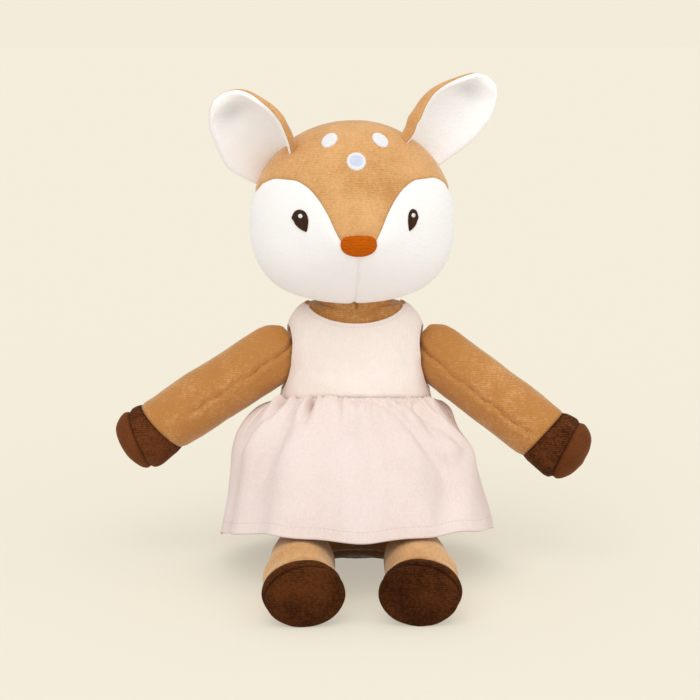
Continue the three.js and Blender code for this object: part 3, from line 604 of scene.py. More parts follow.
def press_seams(parts, seam, kind):
    """Pulls the parts in along a seam and notes how far each point is from it."""
    sizes = bpy.context.scene.deer_sizes
    depth, reach = sizes.seam_depth * SEAMS[kind][0], sizes.seam_reach * SEAMS[kind][1]
    for part in parts:
        far = distance_to(part.points, seam)
        part.seam = np.minimum(part.seam, far)
        stitch = 1 + 0.25 * noise_at(part.points, 0.45, 11)
        part.move(-depth * stitch * bell(far / reach))


def swell(parts, kind):
    """Pushes the parts in and out, as uneven stuffing does."""
    share, own_depth, seed, grain = SWELLS[kind]
    depth = bpy.context.scene.deer_sizes.unevenness * share + own_depth
    for part in parts:
        part.move(depth * waves(part.points, [(grain, seed, 1), (grain * 3, seed + 1, 0.35)]))


def add_piece(name, surface, place, kind, body, node):
    """The named Blender object of a surface, on the body that carries it."""
    matrix = np.array(place if place is not None else Matrix.Identity(4))
    points = surface.points @ matrix[:3, :3].T + matrix[:3, 3]
    mesh = bpy.data.meshes.new(name)
    mesh.from_pydata((points * TO_METRES).tolist(), [], surface.faces.tolist())
    mesh.validate()
    mesh.polygons.foreach_set("use_smooth", [True] * len(mesh.polygons))
    cloth = mesh.attributes.new("cloth", "FLOAT_VECTOR", "POINT")
    flat = np.hstack([surface.data[:, 6:8], np.zeros((len(surface.data), 1))])
    cloth.data.foreach_set("vector", flat.astype(np.float32).ravel())
    # The seam distance, and the painted shade where a surface has it, go to the mesh as attributes
    for key, values in (("seam", surface.seam), ("nap", surface.nap)):
        if values is not None:
            layer = mesh.attributes.new(key, "FLOAT", "POINT")
            layer.data.foreach_set("value", np.asarray(values, np.float32))
    mesh.materials.append(finish_for(kind))
    piece = bpy.data.objects.new(name, mesh)
    bpy.context.scene.collection.objects.link(piece)
    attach(piece, body)
    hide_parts(node)
    return piece


# Finishes


class Nodes:
    """A node tree, and the one way in which nodes are added to it."""

    def __init__(self, tree):
        self.tree = tree

    def node(self, kind, values=(), **settings):
        made = self.tree.nodes.new(kind)
        for key, value in settings.items():
            setattr(made, key, value)
        for key, value in values.items() if isinstance(values, dict) else enumerate(values):
            self.give(made.inputs[key], value)
        return made

    def give(self, socket, value):
        if isinstance(value, Number):
            value = value.socket
        if isinstance(value, bpy.types.NodeSocket):
            self.tree.links.new(value, socket)
        else:
            socket.default_value = value

    def first(self, kind):
        return next(n for n in self.tree.nodes if n.type == kind)


class Number:
    """A shader socket that takes part in sums: each operator adds its Math node."""

    def __init__(self, nodes, socket):
        self.nodes = nodes
        self.socket = socket

    def maths(self, operation, *values):
        node = self.nodes.node("ShaderNodeMath", values, operation=operation)
        return Number(self.nodes, node.outputs[0])

    def sine(self):
        return self.maths("SINE", self)

    def absolute(self):
        return self.maths("ABSOLUTE", self)

    def part(self):
        return self.maths("FRACT", self)

    def ramp(self, low, high):
        """0 below low and 1 above high, with a smooth rise between them."""
        values = {"Value": self, "From Min": low, "From Max": high}
        node = self.nodes.node("ShaderNodeMapRange", values, interpolation_type="SMOOTHSTEP")
        return Number(self.nodes, node.outputs["Result"])


def operator_for(operation, swapped):
    def method(self, other):
        return self.maths(operation, *((other, self) if swapped else (self, other)))
    return method


for key, operation in (("add", "ADD"), ("sub", "SUBTRACT"), ("mul", "MULTIPLY"), ("truediv", "DIVIDE")):
    setattr(Number, f"__{key}__", operator_for(operation, False))
    setattr(Number, f"__r{key}__", operator_for(operation, True))


class Finish(Nodes):
    """One material and the nodes that are added to it."""

    def __init__(self, name, roughness, sheen=0.0, tint=(1, 1, 1), sheen_roughness=0.5, specular=0.25):
        self.material = bpy.data.materials.new(name)
        self.material.use_nodes = True
        super().__init__(self.material.node_tree)
        self.shader = self.first("BSDF_PRINCIPLED")
        for key, value in (
            ("Roughness", roughness),
            ("Sheen Weight", sheen),
            ("Sheen Roughness", sheen_roughness),
            ("Sheen Tint", (*tint, 1)),
            ("Specular IOR Level", specular),
        ):
            self.give(self.shader.inputs[key], value)
        self.place = self.node("ShaderNodeTexCoord").outputs["Object"]

    def axes(self, vector, keys):
        parts = self.node("ShaderNodeSeparateXYZ", {"Vector": vector})
        return [Number(self, parts.outputs[key]) for key in keys]

    def noise(self, grain, detail=2.0, stretch=None, seed=0.0, roughness=0.5):
        """A noise value whose bumps are about 1 / grain metres apart."""
        place = self.place
        if stretch is not None or seed:
            values = {"Vector": place, "Location": (seed, seed, seed), "Scale": stretch or (1, 1, 1)}
            place = self.node("ShaderNodeMapping", values).outputs[0]
        values = {"Vector": place, "Scale": grain, "Detail": detail, "Roughness": roughness}
        return Number(self, self.node("ShaderNodeTexNoise", values).outputs["Fac"])

    def attribute(self, name):
        return Number(self, self.node("ShaderNodeAttribute", attribute_name=name).outputs["Fac"])

    def cloth(self):
        """Distances along and across the cloth, in millimetres."""
        flat = self.node("ShaderNodeAttribute", attribute_name="cloth").outputs["Vector"]
        return self.axes(flat, "XY")

    def mix(self, first, second, share):
        values = {"Factor": share, 6: solid(first), 7: solid(second)}
        return self.node("ShaderNodeMix", values, data_type="RGBA").outputs[2]

    def colour(self, value):
        self.give(self.shader.inputs["Base Color"], solid(value))

    def bump(self, height, distance, strength):
        values = {"Height": height, "Distance": distance * TO_METRES, "Strength": strength}
        self.give(self.shader.inputs["Normal"], self.node("ShaderNodeBump", values).outputs[0])


def solid(value):
    """A colour socket as it is, or a colour with its full alpha."""
    return value if isinstance(value, bpy.types.NodeSocket) else (*value[:3], 1)


def shade(value, share):
    return tuple(min(1, c * share) for c in value)


def plush(name, light, deep, sheen, tint, contrast, seam_shade=0.35, shift=0.0, cloudy=1.1):
    """Short pile: fine knit rows, tufts, clouds of turned pile, darker lines at the seams, and painted
    shade where a piece carries it.
    """
    sizes = bpy.context.scene.deer_sizes
    finish = Finish(name, 0.95, sheen, tint, 0.4, 0.08)
    cloud = finish.noise(PLUSH_GRAIN["cloud"], seed=0.3)
    patch = finish.noise(PLUSH_GRAIN["patch"], seed=0.7)
    tuft = finish.noise(sizes.pile_grain, 3, roughness=0.65)
    wander = finish.noise(PLUSH_GRAIN["wander"], seed=0.5) * 9
    height, = finish.axes(finish.place, "Z")
    rows = (height * (2 * math.pi / (sizes.knit_pitch * TO_METRES)) + wander).sine()
    share = 0.5 + shift + contrast * (
        (cloud - 0.5) * cloudy + (patch - 0.5) * 0.5 + (tuft - 0.5) * 1.1 + rows * 0.09
    )
    body = finish.mix(deep, light, share.ramp(0, 1))
    fray = 0.55 + finish.noise(PLUSH_GRAIN["fray"], seed=0.8) * 0.9
    near = (1 - finish.attribute("seam").ramp(0.1, 1.5)) * fray
    # Painted shade: points that carry it are darkened towards a deeper tone
    body = finish.mix(body, shade(deep, 0.74), finish.attribute("nap").ramp(0, 1))
    finish.colour(finish.mix(body, shade(deep, 0.5), near * seam_shade))
    finish.bump(tuft * 0.7 + rows * (0.08 * contrast) + patch * 0.4, 0.8, 0.5)
    return finish.material


def satin(name, base, along, pitch, dark_share, roughness=0.5, second=None):
    """Satin stitches: fine parallel threads with a soft gloss. Along is X or Z."""
    finish = Finish(name, roughness, 0.05, base, specular=0.06)
    upright = along == "Z"
    wobble = finish.noise(SATIN_GRAIN["wobble"]) * 5
    across, = finish.axes(finish.place, "X" if upright else "Z")
    lines = (across * (2 * math.pi / (pitch * TO_METRES)) + wobble).sine() * 0.5 + 0.5
    strand = finish.noise(SATIN_GRAIN["strand"], stretch=(3, 1, 0.5) if upright else (0.5, 1, 3), seed=0.2)
    dark, light = shade(base, 1 - dark_share), shade(base, 1 + 0.25 * dark_share)
    body = finish.mix(dark, light, (lines * 0.5 + strand * 0.9 - 0.2).ramp(0, 1))
    if second is not None:
        inner, low, high = second
        body = finish.mix(body, inner, finish.attribute("seam").ramp(low, high))
    finish.colour(body)
    finish.bump(lines * 0.5 + strand, 0.35, 0.8)
    return finish.material


def cotton(name, light, deep, stitch_in):
    """Plain weave with slubs, soft creases and a row of topstitches beside the hems."""
    finish = Finish(name, 0.9, 0.12, light, 0.4)
    along, across = finish.cloth()
    turn = 2 * math.pi / bpy.context.scene.deer_sizes.weave_pitch
    wobble = finish.noise(COTTON_GRAIN["wobble"]) * 2.2
    weave = (along * turn + wobble).sine() * (across * turn + wobble).sine() * 0.5 + 0.5
    fleck = finish.noise(COTTON_GRAIN["fleck"], seed=0.4, roughness=0.6)
    slub = finish.noise(COTTON_GRAIN["slub"], stretch=(1.6, 1.6, 0.35), seed=0.1)
    cloud = finish.noise(COTTON_GRAIN["cloud"], seed=0.9)
    share = 0.6 + (weave - 0.5) * 0.14 + (fleck - 0.5) * 0.6 + (slub - 0.5) * 0.4 + (cloud - 0.5) * 0.6
    body = finish.mix(deep, light, share.ramp(0, 1))
    row = 1 - ((finish.attribute("seam") - stitch_in) / 0.5).absolute().ramp(0.3, 1)
    dash = ((along * (1 / STITCH_LENGTH)).part() - 0.5).absolute() * 2
    stitches = row * (1 - dash.ramp(0.25, 0.55))
    finish.colour(finish.mix(body, shade(deep, 0.8), row * 0.08 + stitches * 0.3))
    crease = finish.noise(COTTON_GRAIN["crease"], seed=0.6)
    finish.bump(weave * 0.2 + fleck * 0.3 + crease * 1.3 - row * 0.35 + stitches * 0.4, 0.6, 0.45)
    return finish.material


def fibre(name, base):
    """Loose fibre fill or woven tape: tangled fine strands."""
    finish = Finish(name, 0.9, 0.1, base)
    strands = finish.noise(FIBRE_GRAIN, 4, stretch=(1, 1, 2.5), roughness=0.7)
    finish.colour(finish.mix(shade(base, 0.86), base, strands.ramp(0.3, 0.7)))
    finish.bump(strands, 1.2, 0.7)
    return finish.material


def finish_for(kind):
    """The material of a kind of cloth or thread, made once."""
    name = "deer_" + kind
    if name in bpy.data.materials:
        return bpy.data.materials[name]
    group = bpy.context.scene.deer_colours
    c = {key: tuple(getattr(group, key)) for key in DeerColours.__annotations__}
    red_tint = (0.6, 0.28, 0.12)
    maker, *values = {
        "tan": (plush, c["tan"], c["tan_deep"], 0.7, (1, 0.86, 0.66), 0.75, 0.35, 0.12),
        # A darker copy of the tan for the arms, torso, neck and limb roots: partly the pile's direction,
        # partly painted shade
        "tan_limb": (plush, c["tan"], c["tan_deep"], 0.7, (1, 0.88, 0.7), 1.1, 0.8, -0.36, 0.8),
        "tan_leg": (plush, c["tan"], c["tan_deep"], 0.7, (1, 0.84, 0.62), 0.8, 0.6, -0.08),
        "white": (plush, c["white"], c["white_deep"], 0.15, c["white"], 0.6, 0.12, 0.2),
        "brown": (plush, c["brown"], c["brown_deep"], 0.2, red_tint, 1.1, 0.6, -0.08),
        # Both parts of the hand hooves take the lighter brown: painted light on their bands and ends
        "brown_hand": (plush, c["brown_light"], c["brown_deep"], 0.2, red_tint, 1.2, 0.6, -0.02),
        "brown_end": (plush, c["brown_light"], c["brown"], 0.25, (0.7, 0.34, 0.15), 1.1, 0.6, 0.1),
        "nose": (satin, c["nose"], "X", 0.8, 0.45),
        "eye": (satin, c["eye"], "Z", 0.6, 0.75),
        "thread": (satin, c["thread"], "X", 0.5, 0.12),
        "round_spot": (satin, c["thread"], "X", 0.5, 0.12, 0.5, (c["spot"], 1.3, 1.9)),
        "cotton": (cotton, c["dress"], c["dress_deep"], 2),
        "cotton_skirt": (cotton, c["skirt"], c["skirt_deep"], 6.2),
        "fill": (fibre, c["fill"]),
        "tape": (fibre, c["tape"]),
    }[kind]
    return maker(name, *values)


# Forms


def torso_row(height, grow=0.0):
    """Half width, half depth and middle of the torso at each height."""
    table = np.array(TORSO_ROWS, float)
    share = np.atleast_1d(unit(np.asarray(height, float) / TORSO["height"])).ravel()
    row = smooth_curve(table[:, 0], table[:, 1:], share)
    wide = TORSO["half_width"] * row[:, 0] + grow
    deep = TORSO["half_depth"] * row[:, 1] + grow
    back = TORSO["half_depth"] * row[:, 2] + TORSO["lean_back"] * share
    return wide, deep, back


def torso_back(height):
    return torso_row(height)[2][0]


def neck_centre():
    return np.array([0, torso_back(TORSO["height"]), TORSO["height"] + NECK["lift"]])


def shoulder(side):
    wide, _, back = (v[0] for v in torso_row(ARM["root_up"]))
    return np.array([side * (wide + ARM["root_out"]), back + ARM["root_forward"], ARM["root_up"]])


def hip(side):
    return np.array([side * LEG["root_across"], LEG["root_forward"], LEG["root_up"]])


def torso_surface(grow, columns, rows):
    top = TORSO["height"] + min(0, grow)
    heights = np.concatenate([
        [-grow] * 3,
        -grow + (top + grow) * (1 - np.cos(np.linspace(0.02, math.pi, rows))) / 2,
        [top + TORSO["top_lift"]] * 2,
    ])
    shrink = np.concatenate([[0, 0.5, 0.9], np.ones(rows), [TORSO["top_share"], 0]])
    wide, deep, back = torso_row(np.maximum(heights, 0), grow)
    angle = angles_round(columns)
    x = (wide * shrink)[:, None] * np.sin(angle)
    y = back[:, None] - (deep * shrink)[:, None] * np.cos(angle)
    z = np.repeat(heights[:, None], columns, 1)
    low = unit(1 - z / CROTCH["up"])
    front = unit((back[:, None] - y) / TORSO["half_depth"])
    y = y + CROTCH["deep"] * np.exp(-((x / CROTCH["half_width"]) ** 4)) * low ** 0.7 * front
    return pole_grid(np.stack([x, y, z], -1))


def keep_off(form, roots, extra=0.0):
    """Pushes a surface away from the roots of the limbs."""
    for centre, radius in roots:
        away = form.points - centre
        far = np.linalg.norm(away, axis=1, keepdims=True)
        edge = centre + away / np.maximum(far, 1e-6) * (radius + extra)
        form.data[:, :3] = np.where(far < radius + extra, edge, form.points)


def head_height(upper):
    """Height and roundness of the crown where upper holds, and of the jaw elsewhere."""
    tall = np.where(upper, HEAD["crown_height"], HEAD["jaw_depth"])
    return tall, np.where(upper, CROWN_POWER, JAW_POWER)


def head_point(share, angle, grow=0.0):
    share, angle = np.broadcast_arrays(np.asarray(share, float), np.asarray(angle, float))
    tall, power = head_height(share > 0)
    wide = np.maximum(0, 1 - np.abs(share) ** power) ** (1 / power)
    x = (HEAD["half_width"] + grow) * wide * np.sin(angle)
    z = (tall + grow) * share
    muzzle = HEAD["muzzle_length"] * np.maximum(0, np.cos(angle)) * np.exp(
        -((x / HEAD["muzzle_half_width"]) ** 2) / 2
        - (((z + HEAD["muzzle_drop"]) / HEAD["muzzle_half_height"]) ** 2) / 2
    )
    y = -(HEAD["half_depth"] + grow) * wide * np.cos(angle) - muzzle
    return np.stack([x, y, z], -1)


def head_surface(grow, columns, rows):
    rise = np.linspace(-math.pi / 2, math.pi / 2, rows)
    share = np.sign(rise) * np.abs(np.sin(rise)) ** (2 / head_height(rise > 0)[1])
    return pole_grid(head_point(share[:, None], angles_round(columns)[None, :], grow))


def head_front(x, z):
    """Where the front of the head lies at places seen from the front."""
    tall, power = head_height(z > 0)
    share = np.clip(z / tall, -0.999, 0.999)
    wide = (1 - np.abs(share) ** power) ** (1 / power)
    return head_point(share, np.arcsin(np.clip(x / (HEAD["half_width"] * wide), -0.999, 0.999)))


def head_place():
    return Matrix.Translation(HEAD["place"]) @ Matrix.Rotation(HEAD["turn"], 4, "Z")


def cheek_field(p):
    """Above zero on the cheeks: below their upper edge and in front of the ears."""
    table = np.array(CHEEK_EDGE, float)
    top = smooth_curve(table[:, 0], table[:, 1], np.clip(np.abs(p[:, 0]), 0, table[-1, 0]))
    return np.minimum(top - p[:, 2], HEAD["cheek_back"] - p[:, 1])


def stitched_patch(outline, middle, high, rings=16, tilt=0.0):
    """A domed patch of stitches on the front of the head, inside an outline round its middle."""
    outline = np.array(outline, float)
    turn = np.array([[math.cos(tilt), math.sin(tilt)], [-math.sin(tilt), math.cos(tilt)]])
    share = np.concatenate([np.linspace(0, 0.92, rings), [0.97, 1, 1]])
    dome = high * np.sqrt(1 - 0.55 * np.linspace(0, 1, rings) ** 2.6)
    lift = np.concatenate([dome, [high * 0.42, high * 0.1, -1.2]])
    spots = share[:, None, None] * (outline @ turn)[None]
    x, z = middle[0] + spots[..., 0], middle[1] + spots[..., 1]
    step = 0.2
    along = head_front(x + step, z) - head_front(x - step, z)
    up = head_front(x, z + step) - head_front(x, z - step)
    normal = np.cross(along, up)
    normal /= np.linalg.norm(normal, axis=-1, keepdims=True)
    normal *= np.where(normal[..., 1:2] > 0, -1, 1)
    points = head_front(x, z) + normal * lift[:, None, None]
    closing = points[-1:].mean(1, keepdims=True).repeat(points.shape[1], 1)
    surface = pole_grid(np.concatenate([points, closing]))
    rim = (1 - share[:, None]) * np.linalg.norm(outline, axis=1)[None]
    surface.seam = np.concatenate([rim[0, :1], rim[1:].ravel(), rim[-1, :1]])
    return surface


def oval(half_width, half_height, columns, square, ragged):
    angle = angles_round(columns)
    x = half_width * np.sign(np.sin(angle)) * np.abs(np.sin(angle)) ** (2 / square)
    z = half_height * np.sign(np.cos(angle)) * np.abs(np.cos(angle)) ** (2 / square)
    wave = 1 + ragged * np.sin(angle * 23) * np.cos(angle * 9)
    return np.stack([x * wave, z * wave], 1)


def smooth_outline(points):
    """A closed smooth outline through the given points."""
    table = np.array([*points, points[0]], float)
    at = np.concatenate([[0], np.cumsum(np.linalg.norm(np.diff(table, axis=0), axis=1))])
    made = smooth_curve(at, table, np.linspace(0, at[-1], OUTLINE_POINTS, endpoint=False))
    for _ in range(2):
        made = (np.roll(made, 1, 0) + 2 * made + np.roll(made, -1, 0)) / 4
    return made


def limb_surface(limb, rows, columns, count, grow=0.0):
    row = smooth_rows(rows, count)
    angle = angles_round(columns)
    ends = np.zeros(count)
    ends[0], ends[-1] = -grow, grow
    wide, tall = (
        np.maximum(0, limb["radius"] * row[:, k] + np.where(row[:, k] > 0.01, grow, 0)) for k in (1, 2)
    )
    x = wide[:, None] * np.sin(angle)
    z = tall[:, None] * np.cos(angle)
    y = -np.repeat((row[:, 0] * limb["length"] + ends)[:, None], columns, 1)
    return pole_grid(np.stack([x, y, z], -1))


def limb_front(limb, rows, side, end):
    """A slightly wavy line along the front of a limb, from its root as far as end."""
    row = smooth_rows(rows, 260)
    row = row[row[:, 0] * limb["length"] < end]
    along = row[:, 0] * limb["length"]
    wave = 0.5 * np.sin(along * 0.31) + 0.25 * np.sin(along * 0.83)
    return np.stack([side * limb["radius"] * row[:, 1], -along, wave], 1)


def placed(at, drop, turn):
    return Matrix.Translation(at) @ Euler((drop, 0, turn), "XYZ").to_matrix().to_4x4()


def ball(centre, radius, columns=64):
    rise = np.linspace(-math.pi / 2, math.pi / 2, columns // 2)[:, None]
    angle = angles_round(columns)[None]
    x = radius * np.cos(rise) * np.sin(angle)
    y = -radius * np.cos(rise) * np.cos(angle)
    z = radius * np.sin(rise) + 0 * angle
    return pole_grid(np.stack([x, y, z], -1) + centre)


def pellet_surface():
    """The small bag: a flat underside and a low dome."""
    rise = np.linspace(0, math.pi / 2, 14)
    angle = angles_round(48)
    wide = np.concatenate([[0], np.cos(rise)])[:, None]
    tall = np.concatenate([[0], np.sin(rise)])[:, None]
    return pole_grid(np.stack([
        PELLETS["half_width"] * wide * np.sin(angle),
        PELLETS["back"] - PELLETS["half_depth"] * wide * np.cos(angle),
        np.repeat(PLUSH_THICK + PELLETS["height"] * tall, 48, 1),
    ], -1))


def ear_place(name, side):
    """The seat of an ear on the crown: X runs down to the cheek, and Y runs up the ear."""
    up, turn = EAR_SEAT[name], EAR["round"]
    here = head_point(up, turn)
    along = head_point(up + 0.01, turn) - here
    around = head_point(up, turn + 0.01) - here
    along /= np.linalg.norm(along)
    outward = np.cross(around, along)
    centre = here + outward / np.linalg.norm(outward) * EAR["root_lift"]
    rise, back = EAR_RISE[name], EAR_BACK[name]
    length = np.array([
        side * math.cos(rise) * math.cos(back), math.sin(back), math.sin(rise) * math.cos(back),
    ])
    across = np.array([-side * along[0], -along[1], -along[2]])
    across -= length * across.dot(length)
    across /= np.linalg.norm(across)
    axes = np.stack([across, length, np.cross(across, length)], 1)
    seat = Matrix.Translation((side * centre[0], centre[1], centre[2]))
    return head_place() @ seat @ Matrix(axes.tolist()).to_4x4()


def ear_roll(across, up):
    """Share of its full thickness that an ear's leaf has, which falls to nothing at the rim."""
    rim = np.abs(2 * across - 1)
    tip = min(1, max(0, (1 - up) / 0.1)) ** 0.5
    return np.sqrt(np.maximum(0, 1 - rim ** 7)) * tip


def back_depth(across, up):
    return -EAR["back_thick"] * ear_roll(across, up)


def lining_depth(across, up):
    """The lining is thick in its rim and thin in its hollow."""
    thin = EAR["hollow_share"]
    rim = np.maximum((2 * across - 1) ** 4, max(0, (up - 0.7) / 0.3) ** 2)
    return EAR["lining_thick"] * ear_roll(across, up) * (thin + (1 - thin) * rim)


def ear_hollow_shade(name, cloth):
    """How strongly shade is painted on the lining, deepest in the hollow under the rim."""
    across = cloth[..., 0] / cloth[:, -1, 0][:, None]
    up = cloth[..., 1] / EAR_LENGTH[name]
    share = bell((across - EAR_HOLLOW_SHADE["across"][name]) / EAR_HOLLOW_SHADE["wide"])
    share = share * bell((up - EAR_HOLLOW_SHADE["up"]) / EAR_HOLLOW_SHADE["tall"])
    rim = unit((1 - np.abs(2 * across - 1)) / 0.3) * unit((1 - up) / 0.12)
    return (EAR_HOLLOW_SHADE["share"] * share * rim).ravel()


def ear_grid(name, depth_at):
    """A leaf of the ear: depth_at(across, up) is its distance from the fold's own surface."""
    columns, rows = EAR["columns"], EAR["rows"]
    table = np.array(EAR_ROWS[name], float)
    up = np.concatenate([np.linspace(table[0, 0], 0.9, rows - 12), np.linspace(0.915, 1, 12)])
    row = smooth_curve(table[:, 0], table, up)
    power, length, front = EAR_CURL_POWER[name], EAR_LENGTH[name], SIDES[name]
    steps = 220
    fine = (np.arange(steps) + 0.5) / steps
    ends = np.linspace(0, 1, steps + 1)
    across = 0.5 - 0.5 * np.cos(np.linspace(0, math.pi, columns))
    opened, shut = math.cos(EAR_OPEN[name]), math.sin(EAR_OPEN[name])
    points = np.zeros((rows, columns, 3))
    cloth = np.zeros((rows, columns, 2))
    for r in range(rows):
        _, outer_wide, inner_wide, outer, inner = row[r]
        wide = (outer_wide + inner_wide) * EAR["half_width"]
        turn = np.radians(-outer + (outer + inner) * fine ** power)
        x = np.concatenate([[0], np.cumsum(-np.cos(turn) * wide / steps)])
        y = np.concatenate([[0], np.cumsum(np.sin(turn) * wide / steps)])
        anchor = outer_wide / (outer_wide + inner_wide)
        depth = depth_at(across, max(0, up[r]))
        here = np.radians(-outer + (outer + inner) * across ** power)
        px = np.interp(across, ends, x) - np.interp(anchor, ends, x) + np.sin(here) * depth
        py = np.interp(across, ends, y) - np.interp(anchor, ends, y) + np.cos(here) * depth
        tall = np.full(columns, up[r] * length)
        points[r] = np.stack([px * opened + py * shut, tall, front * (py * opened - px * shut)], 1)
        cloth[r] = np.stack([across * wide, tall], 1)
    return points, cloth


def above_waist(p):
    """How far points lie above the waist seam."""
    return p[:, 2] - WAIST["up"] + WAIST["slope"] * (p[:, 1] - torso_back(WAIST["up"]))


def scoop_up(x, drop):
    """Height of the neckline's edge at a distance from the middle."""
    t = np.linspace(0, 1, 120)
    half, steep, top = NECKLINE["half_width"], NECKLINE["steep"], TORSO["height"]
    low = top - drop * (1 + steep)
    inner = 3 * (1 - t) ** 2 * t, 3 * (1 - t) * t ** 2
    bx = half * (t ** 3 - (1 - t) ** 3 + steep * (inner[1] - inner[0]))
    bz = top * ((1 - t) ** 3 + t ** 3) + low * (inner[0] + inner[1])
    return np.interp(np.clip(x, -half, half), bx, bz)


def bodice_surface(grow):
    columns, rows = GRIDS["bodice"]
    angle = np.linspace(-math.pi, math.pi, columns)
    height = np.linspace(BODICE["cut_low"], TORSO["height"], rows)
    wide, deep, back = torso_row(height, grow)
    x = wide[:, None] * np.sin(angle)
    y = back[:, None] - deep[:, None] * np.cos(angle)
    z = np.repeat(height[:, None], columns, 1)
    cloth = np.stack([np.repeat((angle * BODICE["cloth_radius"])[None], rows, 0), z], -1)
    return open_grid(np.stack([x, y, z], -1), cloth).face_round(SIDE_SEAM_BACK)


def worn_field(p):
    """Above zero where the bodice is, seen from its waist, neckline and armhole edges."""
    waist = above_waist(p) + WAIST["tuck"]
    front, back = (scoop_up(p[:, 0], NECKLINE[k]) for k in ("front_drop", "back_drop"))
    neck = np.where(p[:, 1] < SIDE_SEAM_BACK, front, back) - p[:, 2]
    neck = np.where(np.abs(p[:, 0]) < NECKLINE["half_width"], neck, 50)
    a = (p[:, 1] - ARMHOLE["back"]) / ARMHOLE["half_depth"]
    low = p[:, 2] < ARMHOLE["up"]
    b = (p[:, 2] - ARMHOLE["up"]) / np.where(low, ARMHOLE["low_height"], ARMHOLE["half_height"])
    power = np.where(low, ARMHOLE["low_power"], 2)
    hole = ((np.abs(a) ** power + np.abs(b) ** power) ** (1 / power) - 1) * ARMHOLE["half_depth"]
    return np.minimum(np.minimum(waist, neck), hole)


def bodice_field(name, p):
    """Above zero on the bodice's front, or on one of its backs as far as its lap."""
    if name == "front":
        return SIDE_SEAM_BACK - p[:, 1]
    side = SIDES[name[len("back_"):]]
    return np.minimum(p[:, 1] - SIDE_SEAM_BACK, side * p[:, 0] + CLOSURE["lap"])


def tape_field(p):
    sideways = np.minimum(CLOSURE["half_width"] - np.abs(p[:, 0]), p[:, 1] - SIDE_SEAM_BACK)
    return np.minimum(sideways, np.minimum(p[:, 2] - CLOSURE["bottom"], CLOSURE["top"] - p[:, 2]))


def skirt_points(angle, down):
    """Points of the skirt at angles round from the front and shares of the way down."""
    table = np.array(SKIRT_ROWS, float)
    at = np.linspace(0, 1, len(table))
    row = smooth_curve(at, table, down.ravel()).reshape(*down.shape, 5)
    sin, cos = np.sin(angle), np.cos(angle)
    ahead, behind, left = np.maximum(0, cos), np.maximum(0, -cos), (1 + sin) / 2
    wide, deep, back = (v[0] for v in torso_row(WAIST["up"], 1.5))
    top_x, top_y = wide * sin, back - deep * cos
    top_z = WAIST["up"] - WAIST["slope"] * (top_y - back)
    side_up = SKIRT["right_up"] + (SKIRT["left_up"] - SKIRT["right_up"]) * left
    hem_up = (
        side_up
        + (SKIRT["front_up"] - side_up) * ahead ** 0.8 * (1 + LAP_LIFT * np.sin(2 * angle) ** 2)
        + (SKIRT["back_up"] - side_up) * behind
    )
    aside = row[..., 1] + (row[..., 2] - row[..., 1]) * left
    out = aside + (row[..., 3] - aside) * ahead ** 2
    fold = SKIRT["fold_depth"] * row[..., 4] * np.cos(SKIRT["folds"] * angle)
    x = top_x + (SKIRT["half_width"] * sin - top_x) * out + fold * sin
    y = top_y + (SKIRT["forward"] - SKIRT["half_depth"] * cos - top_y) * out - fold * cos
    z = top_z + (hem_up - top_z) * row[..., 0]
    return np.stack([x, y, z], -1)


def skirt_rise(a, d):
    """How far gathers, pleats, folds and puffs lift the skirt at angles a and shares d down."""
    def apart(degrees):
        return (np.degrees(a) - degrees + 180) % 360 - 180

    ring = np.stack([np.sin(a), np.cos(a), d * 0.05], 1)
    gathers, drape = waves(ring, GATHERS), waves(ring, DRAPE)
    soft = waves(ring * np.array([1, 1, 12]), SOFT)
    gather = bpy.context.scene.deer_sizes.gather * SKIRT["gather_share"]
    rise = SKIRT["lift"] + gather * gathers * bell(d / 0.24) * unit(d / 0.02) + soft * unit(d * 1.6)
    rise += SKIRT["drape"] * drape * unit(d * 1.8)
    for degrees, wide, deep, end in PLEATS:
        away = apart(degrees)
        spread = wide * (0.55 + 1.4 * d)
        fade = unit(1 - d / end)
        rise -= deep * bell(away / spread) * fade ** 1.3 * unit(d / 0.025)
        rise += 0.3 * deep * bell((np.abs(away) - 1.9 * spread) / spread) * fade * unit(d / 0.03)
    for first, top, last, low, deep, wide in SLANTS:
        away = apart(first + (last - first) * unit((d - top) / (low - top)))
        inside = unit((d - top) / 0.1) * (unit((low + 0.12 - d) / 0.2) if low < 1 else 1)
        rise += deep * inside * (0.5 * bell((away - 1.5 * wide) / wide) - bell(away / wide))
    for degrees, at, wide, tall, high in PUFFS:
        rise += high * bell(apart(degrees) / wide) * bell((d - at) / tall) * unit(d / 0.02)
    return rise


# Pieces


class DEER_OT_head(Operator):
    """Sew the head: the crown with its forehead wedge, both cheeks and the stuffing"""
    bl_idname = "deer.head"
    bl_label = "Head"

    def execute(self, context):
        form = head_surface(0, *GRIDS["head"])
        edge, chin = [], []
        cheeks = form.clip(cheek_field, edge)
        crown = form.clip(lambda p: -cheek_field(p))
        left = cheeks.clip(lambda p: p[:, 0], chin)
        right = cheeks.clip(lambda p: -p[:, 0])
        parts = [crown, left, right]
        swell(parts, "head")
        band = SEAM_BAND["crown"]
        middle = [p for p in form.points if abs(p[0]) < band and p[1] > HEAD["cheek_back"]]
        press_seams(parts, edge, "cheek")
        press_seams([left, right], chin, "chin")
        press_seams([crown], middle, "crown")
        place = head_place()
        for name, part, kind, node in (
            ("plush_crown", crown, "tan", "head_crown"),
            ("plush_cheek_left", left, "white", "cheek_left"),
            ("plush_cheek_right", right, "white", "cheek_right"),
        ):
            add_piece(name, part, place, kind, "head", node)
        filling = head_surface(-PLUSH_THICK - FILL_GAP["head"], *GRIDS["head_fill"])
        swell([filling], "head_fill")
        add_piece("fill_head", filling, place, "fill", "head", "head_stuffing")
        return {"FINISHED"}


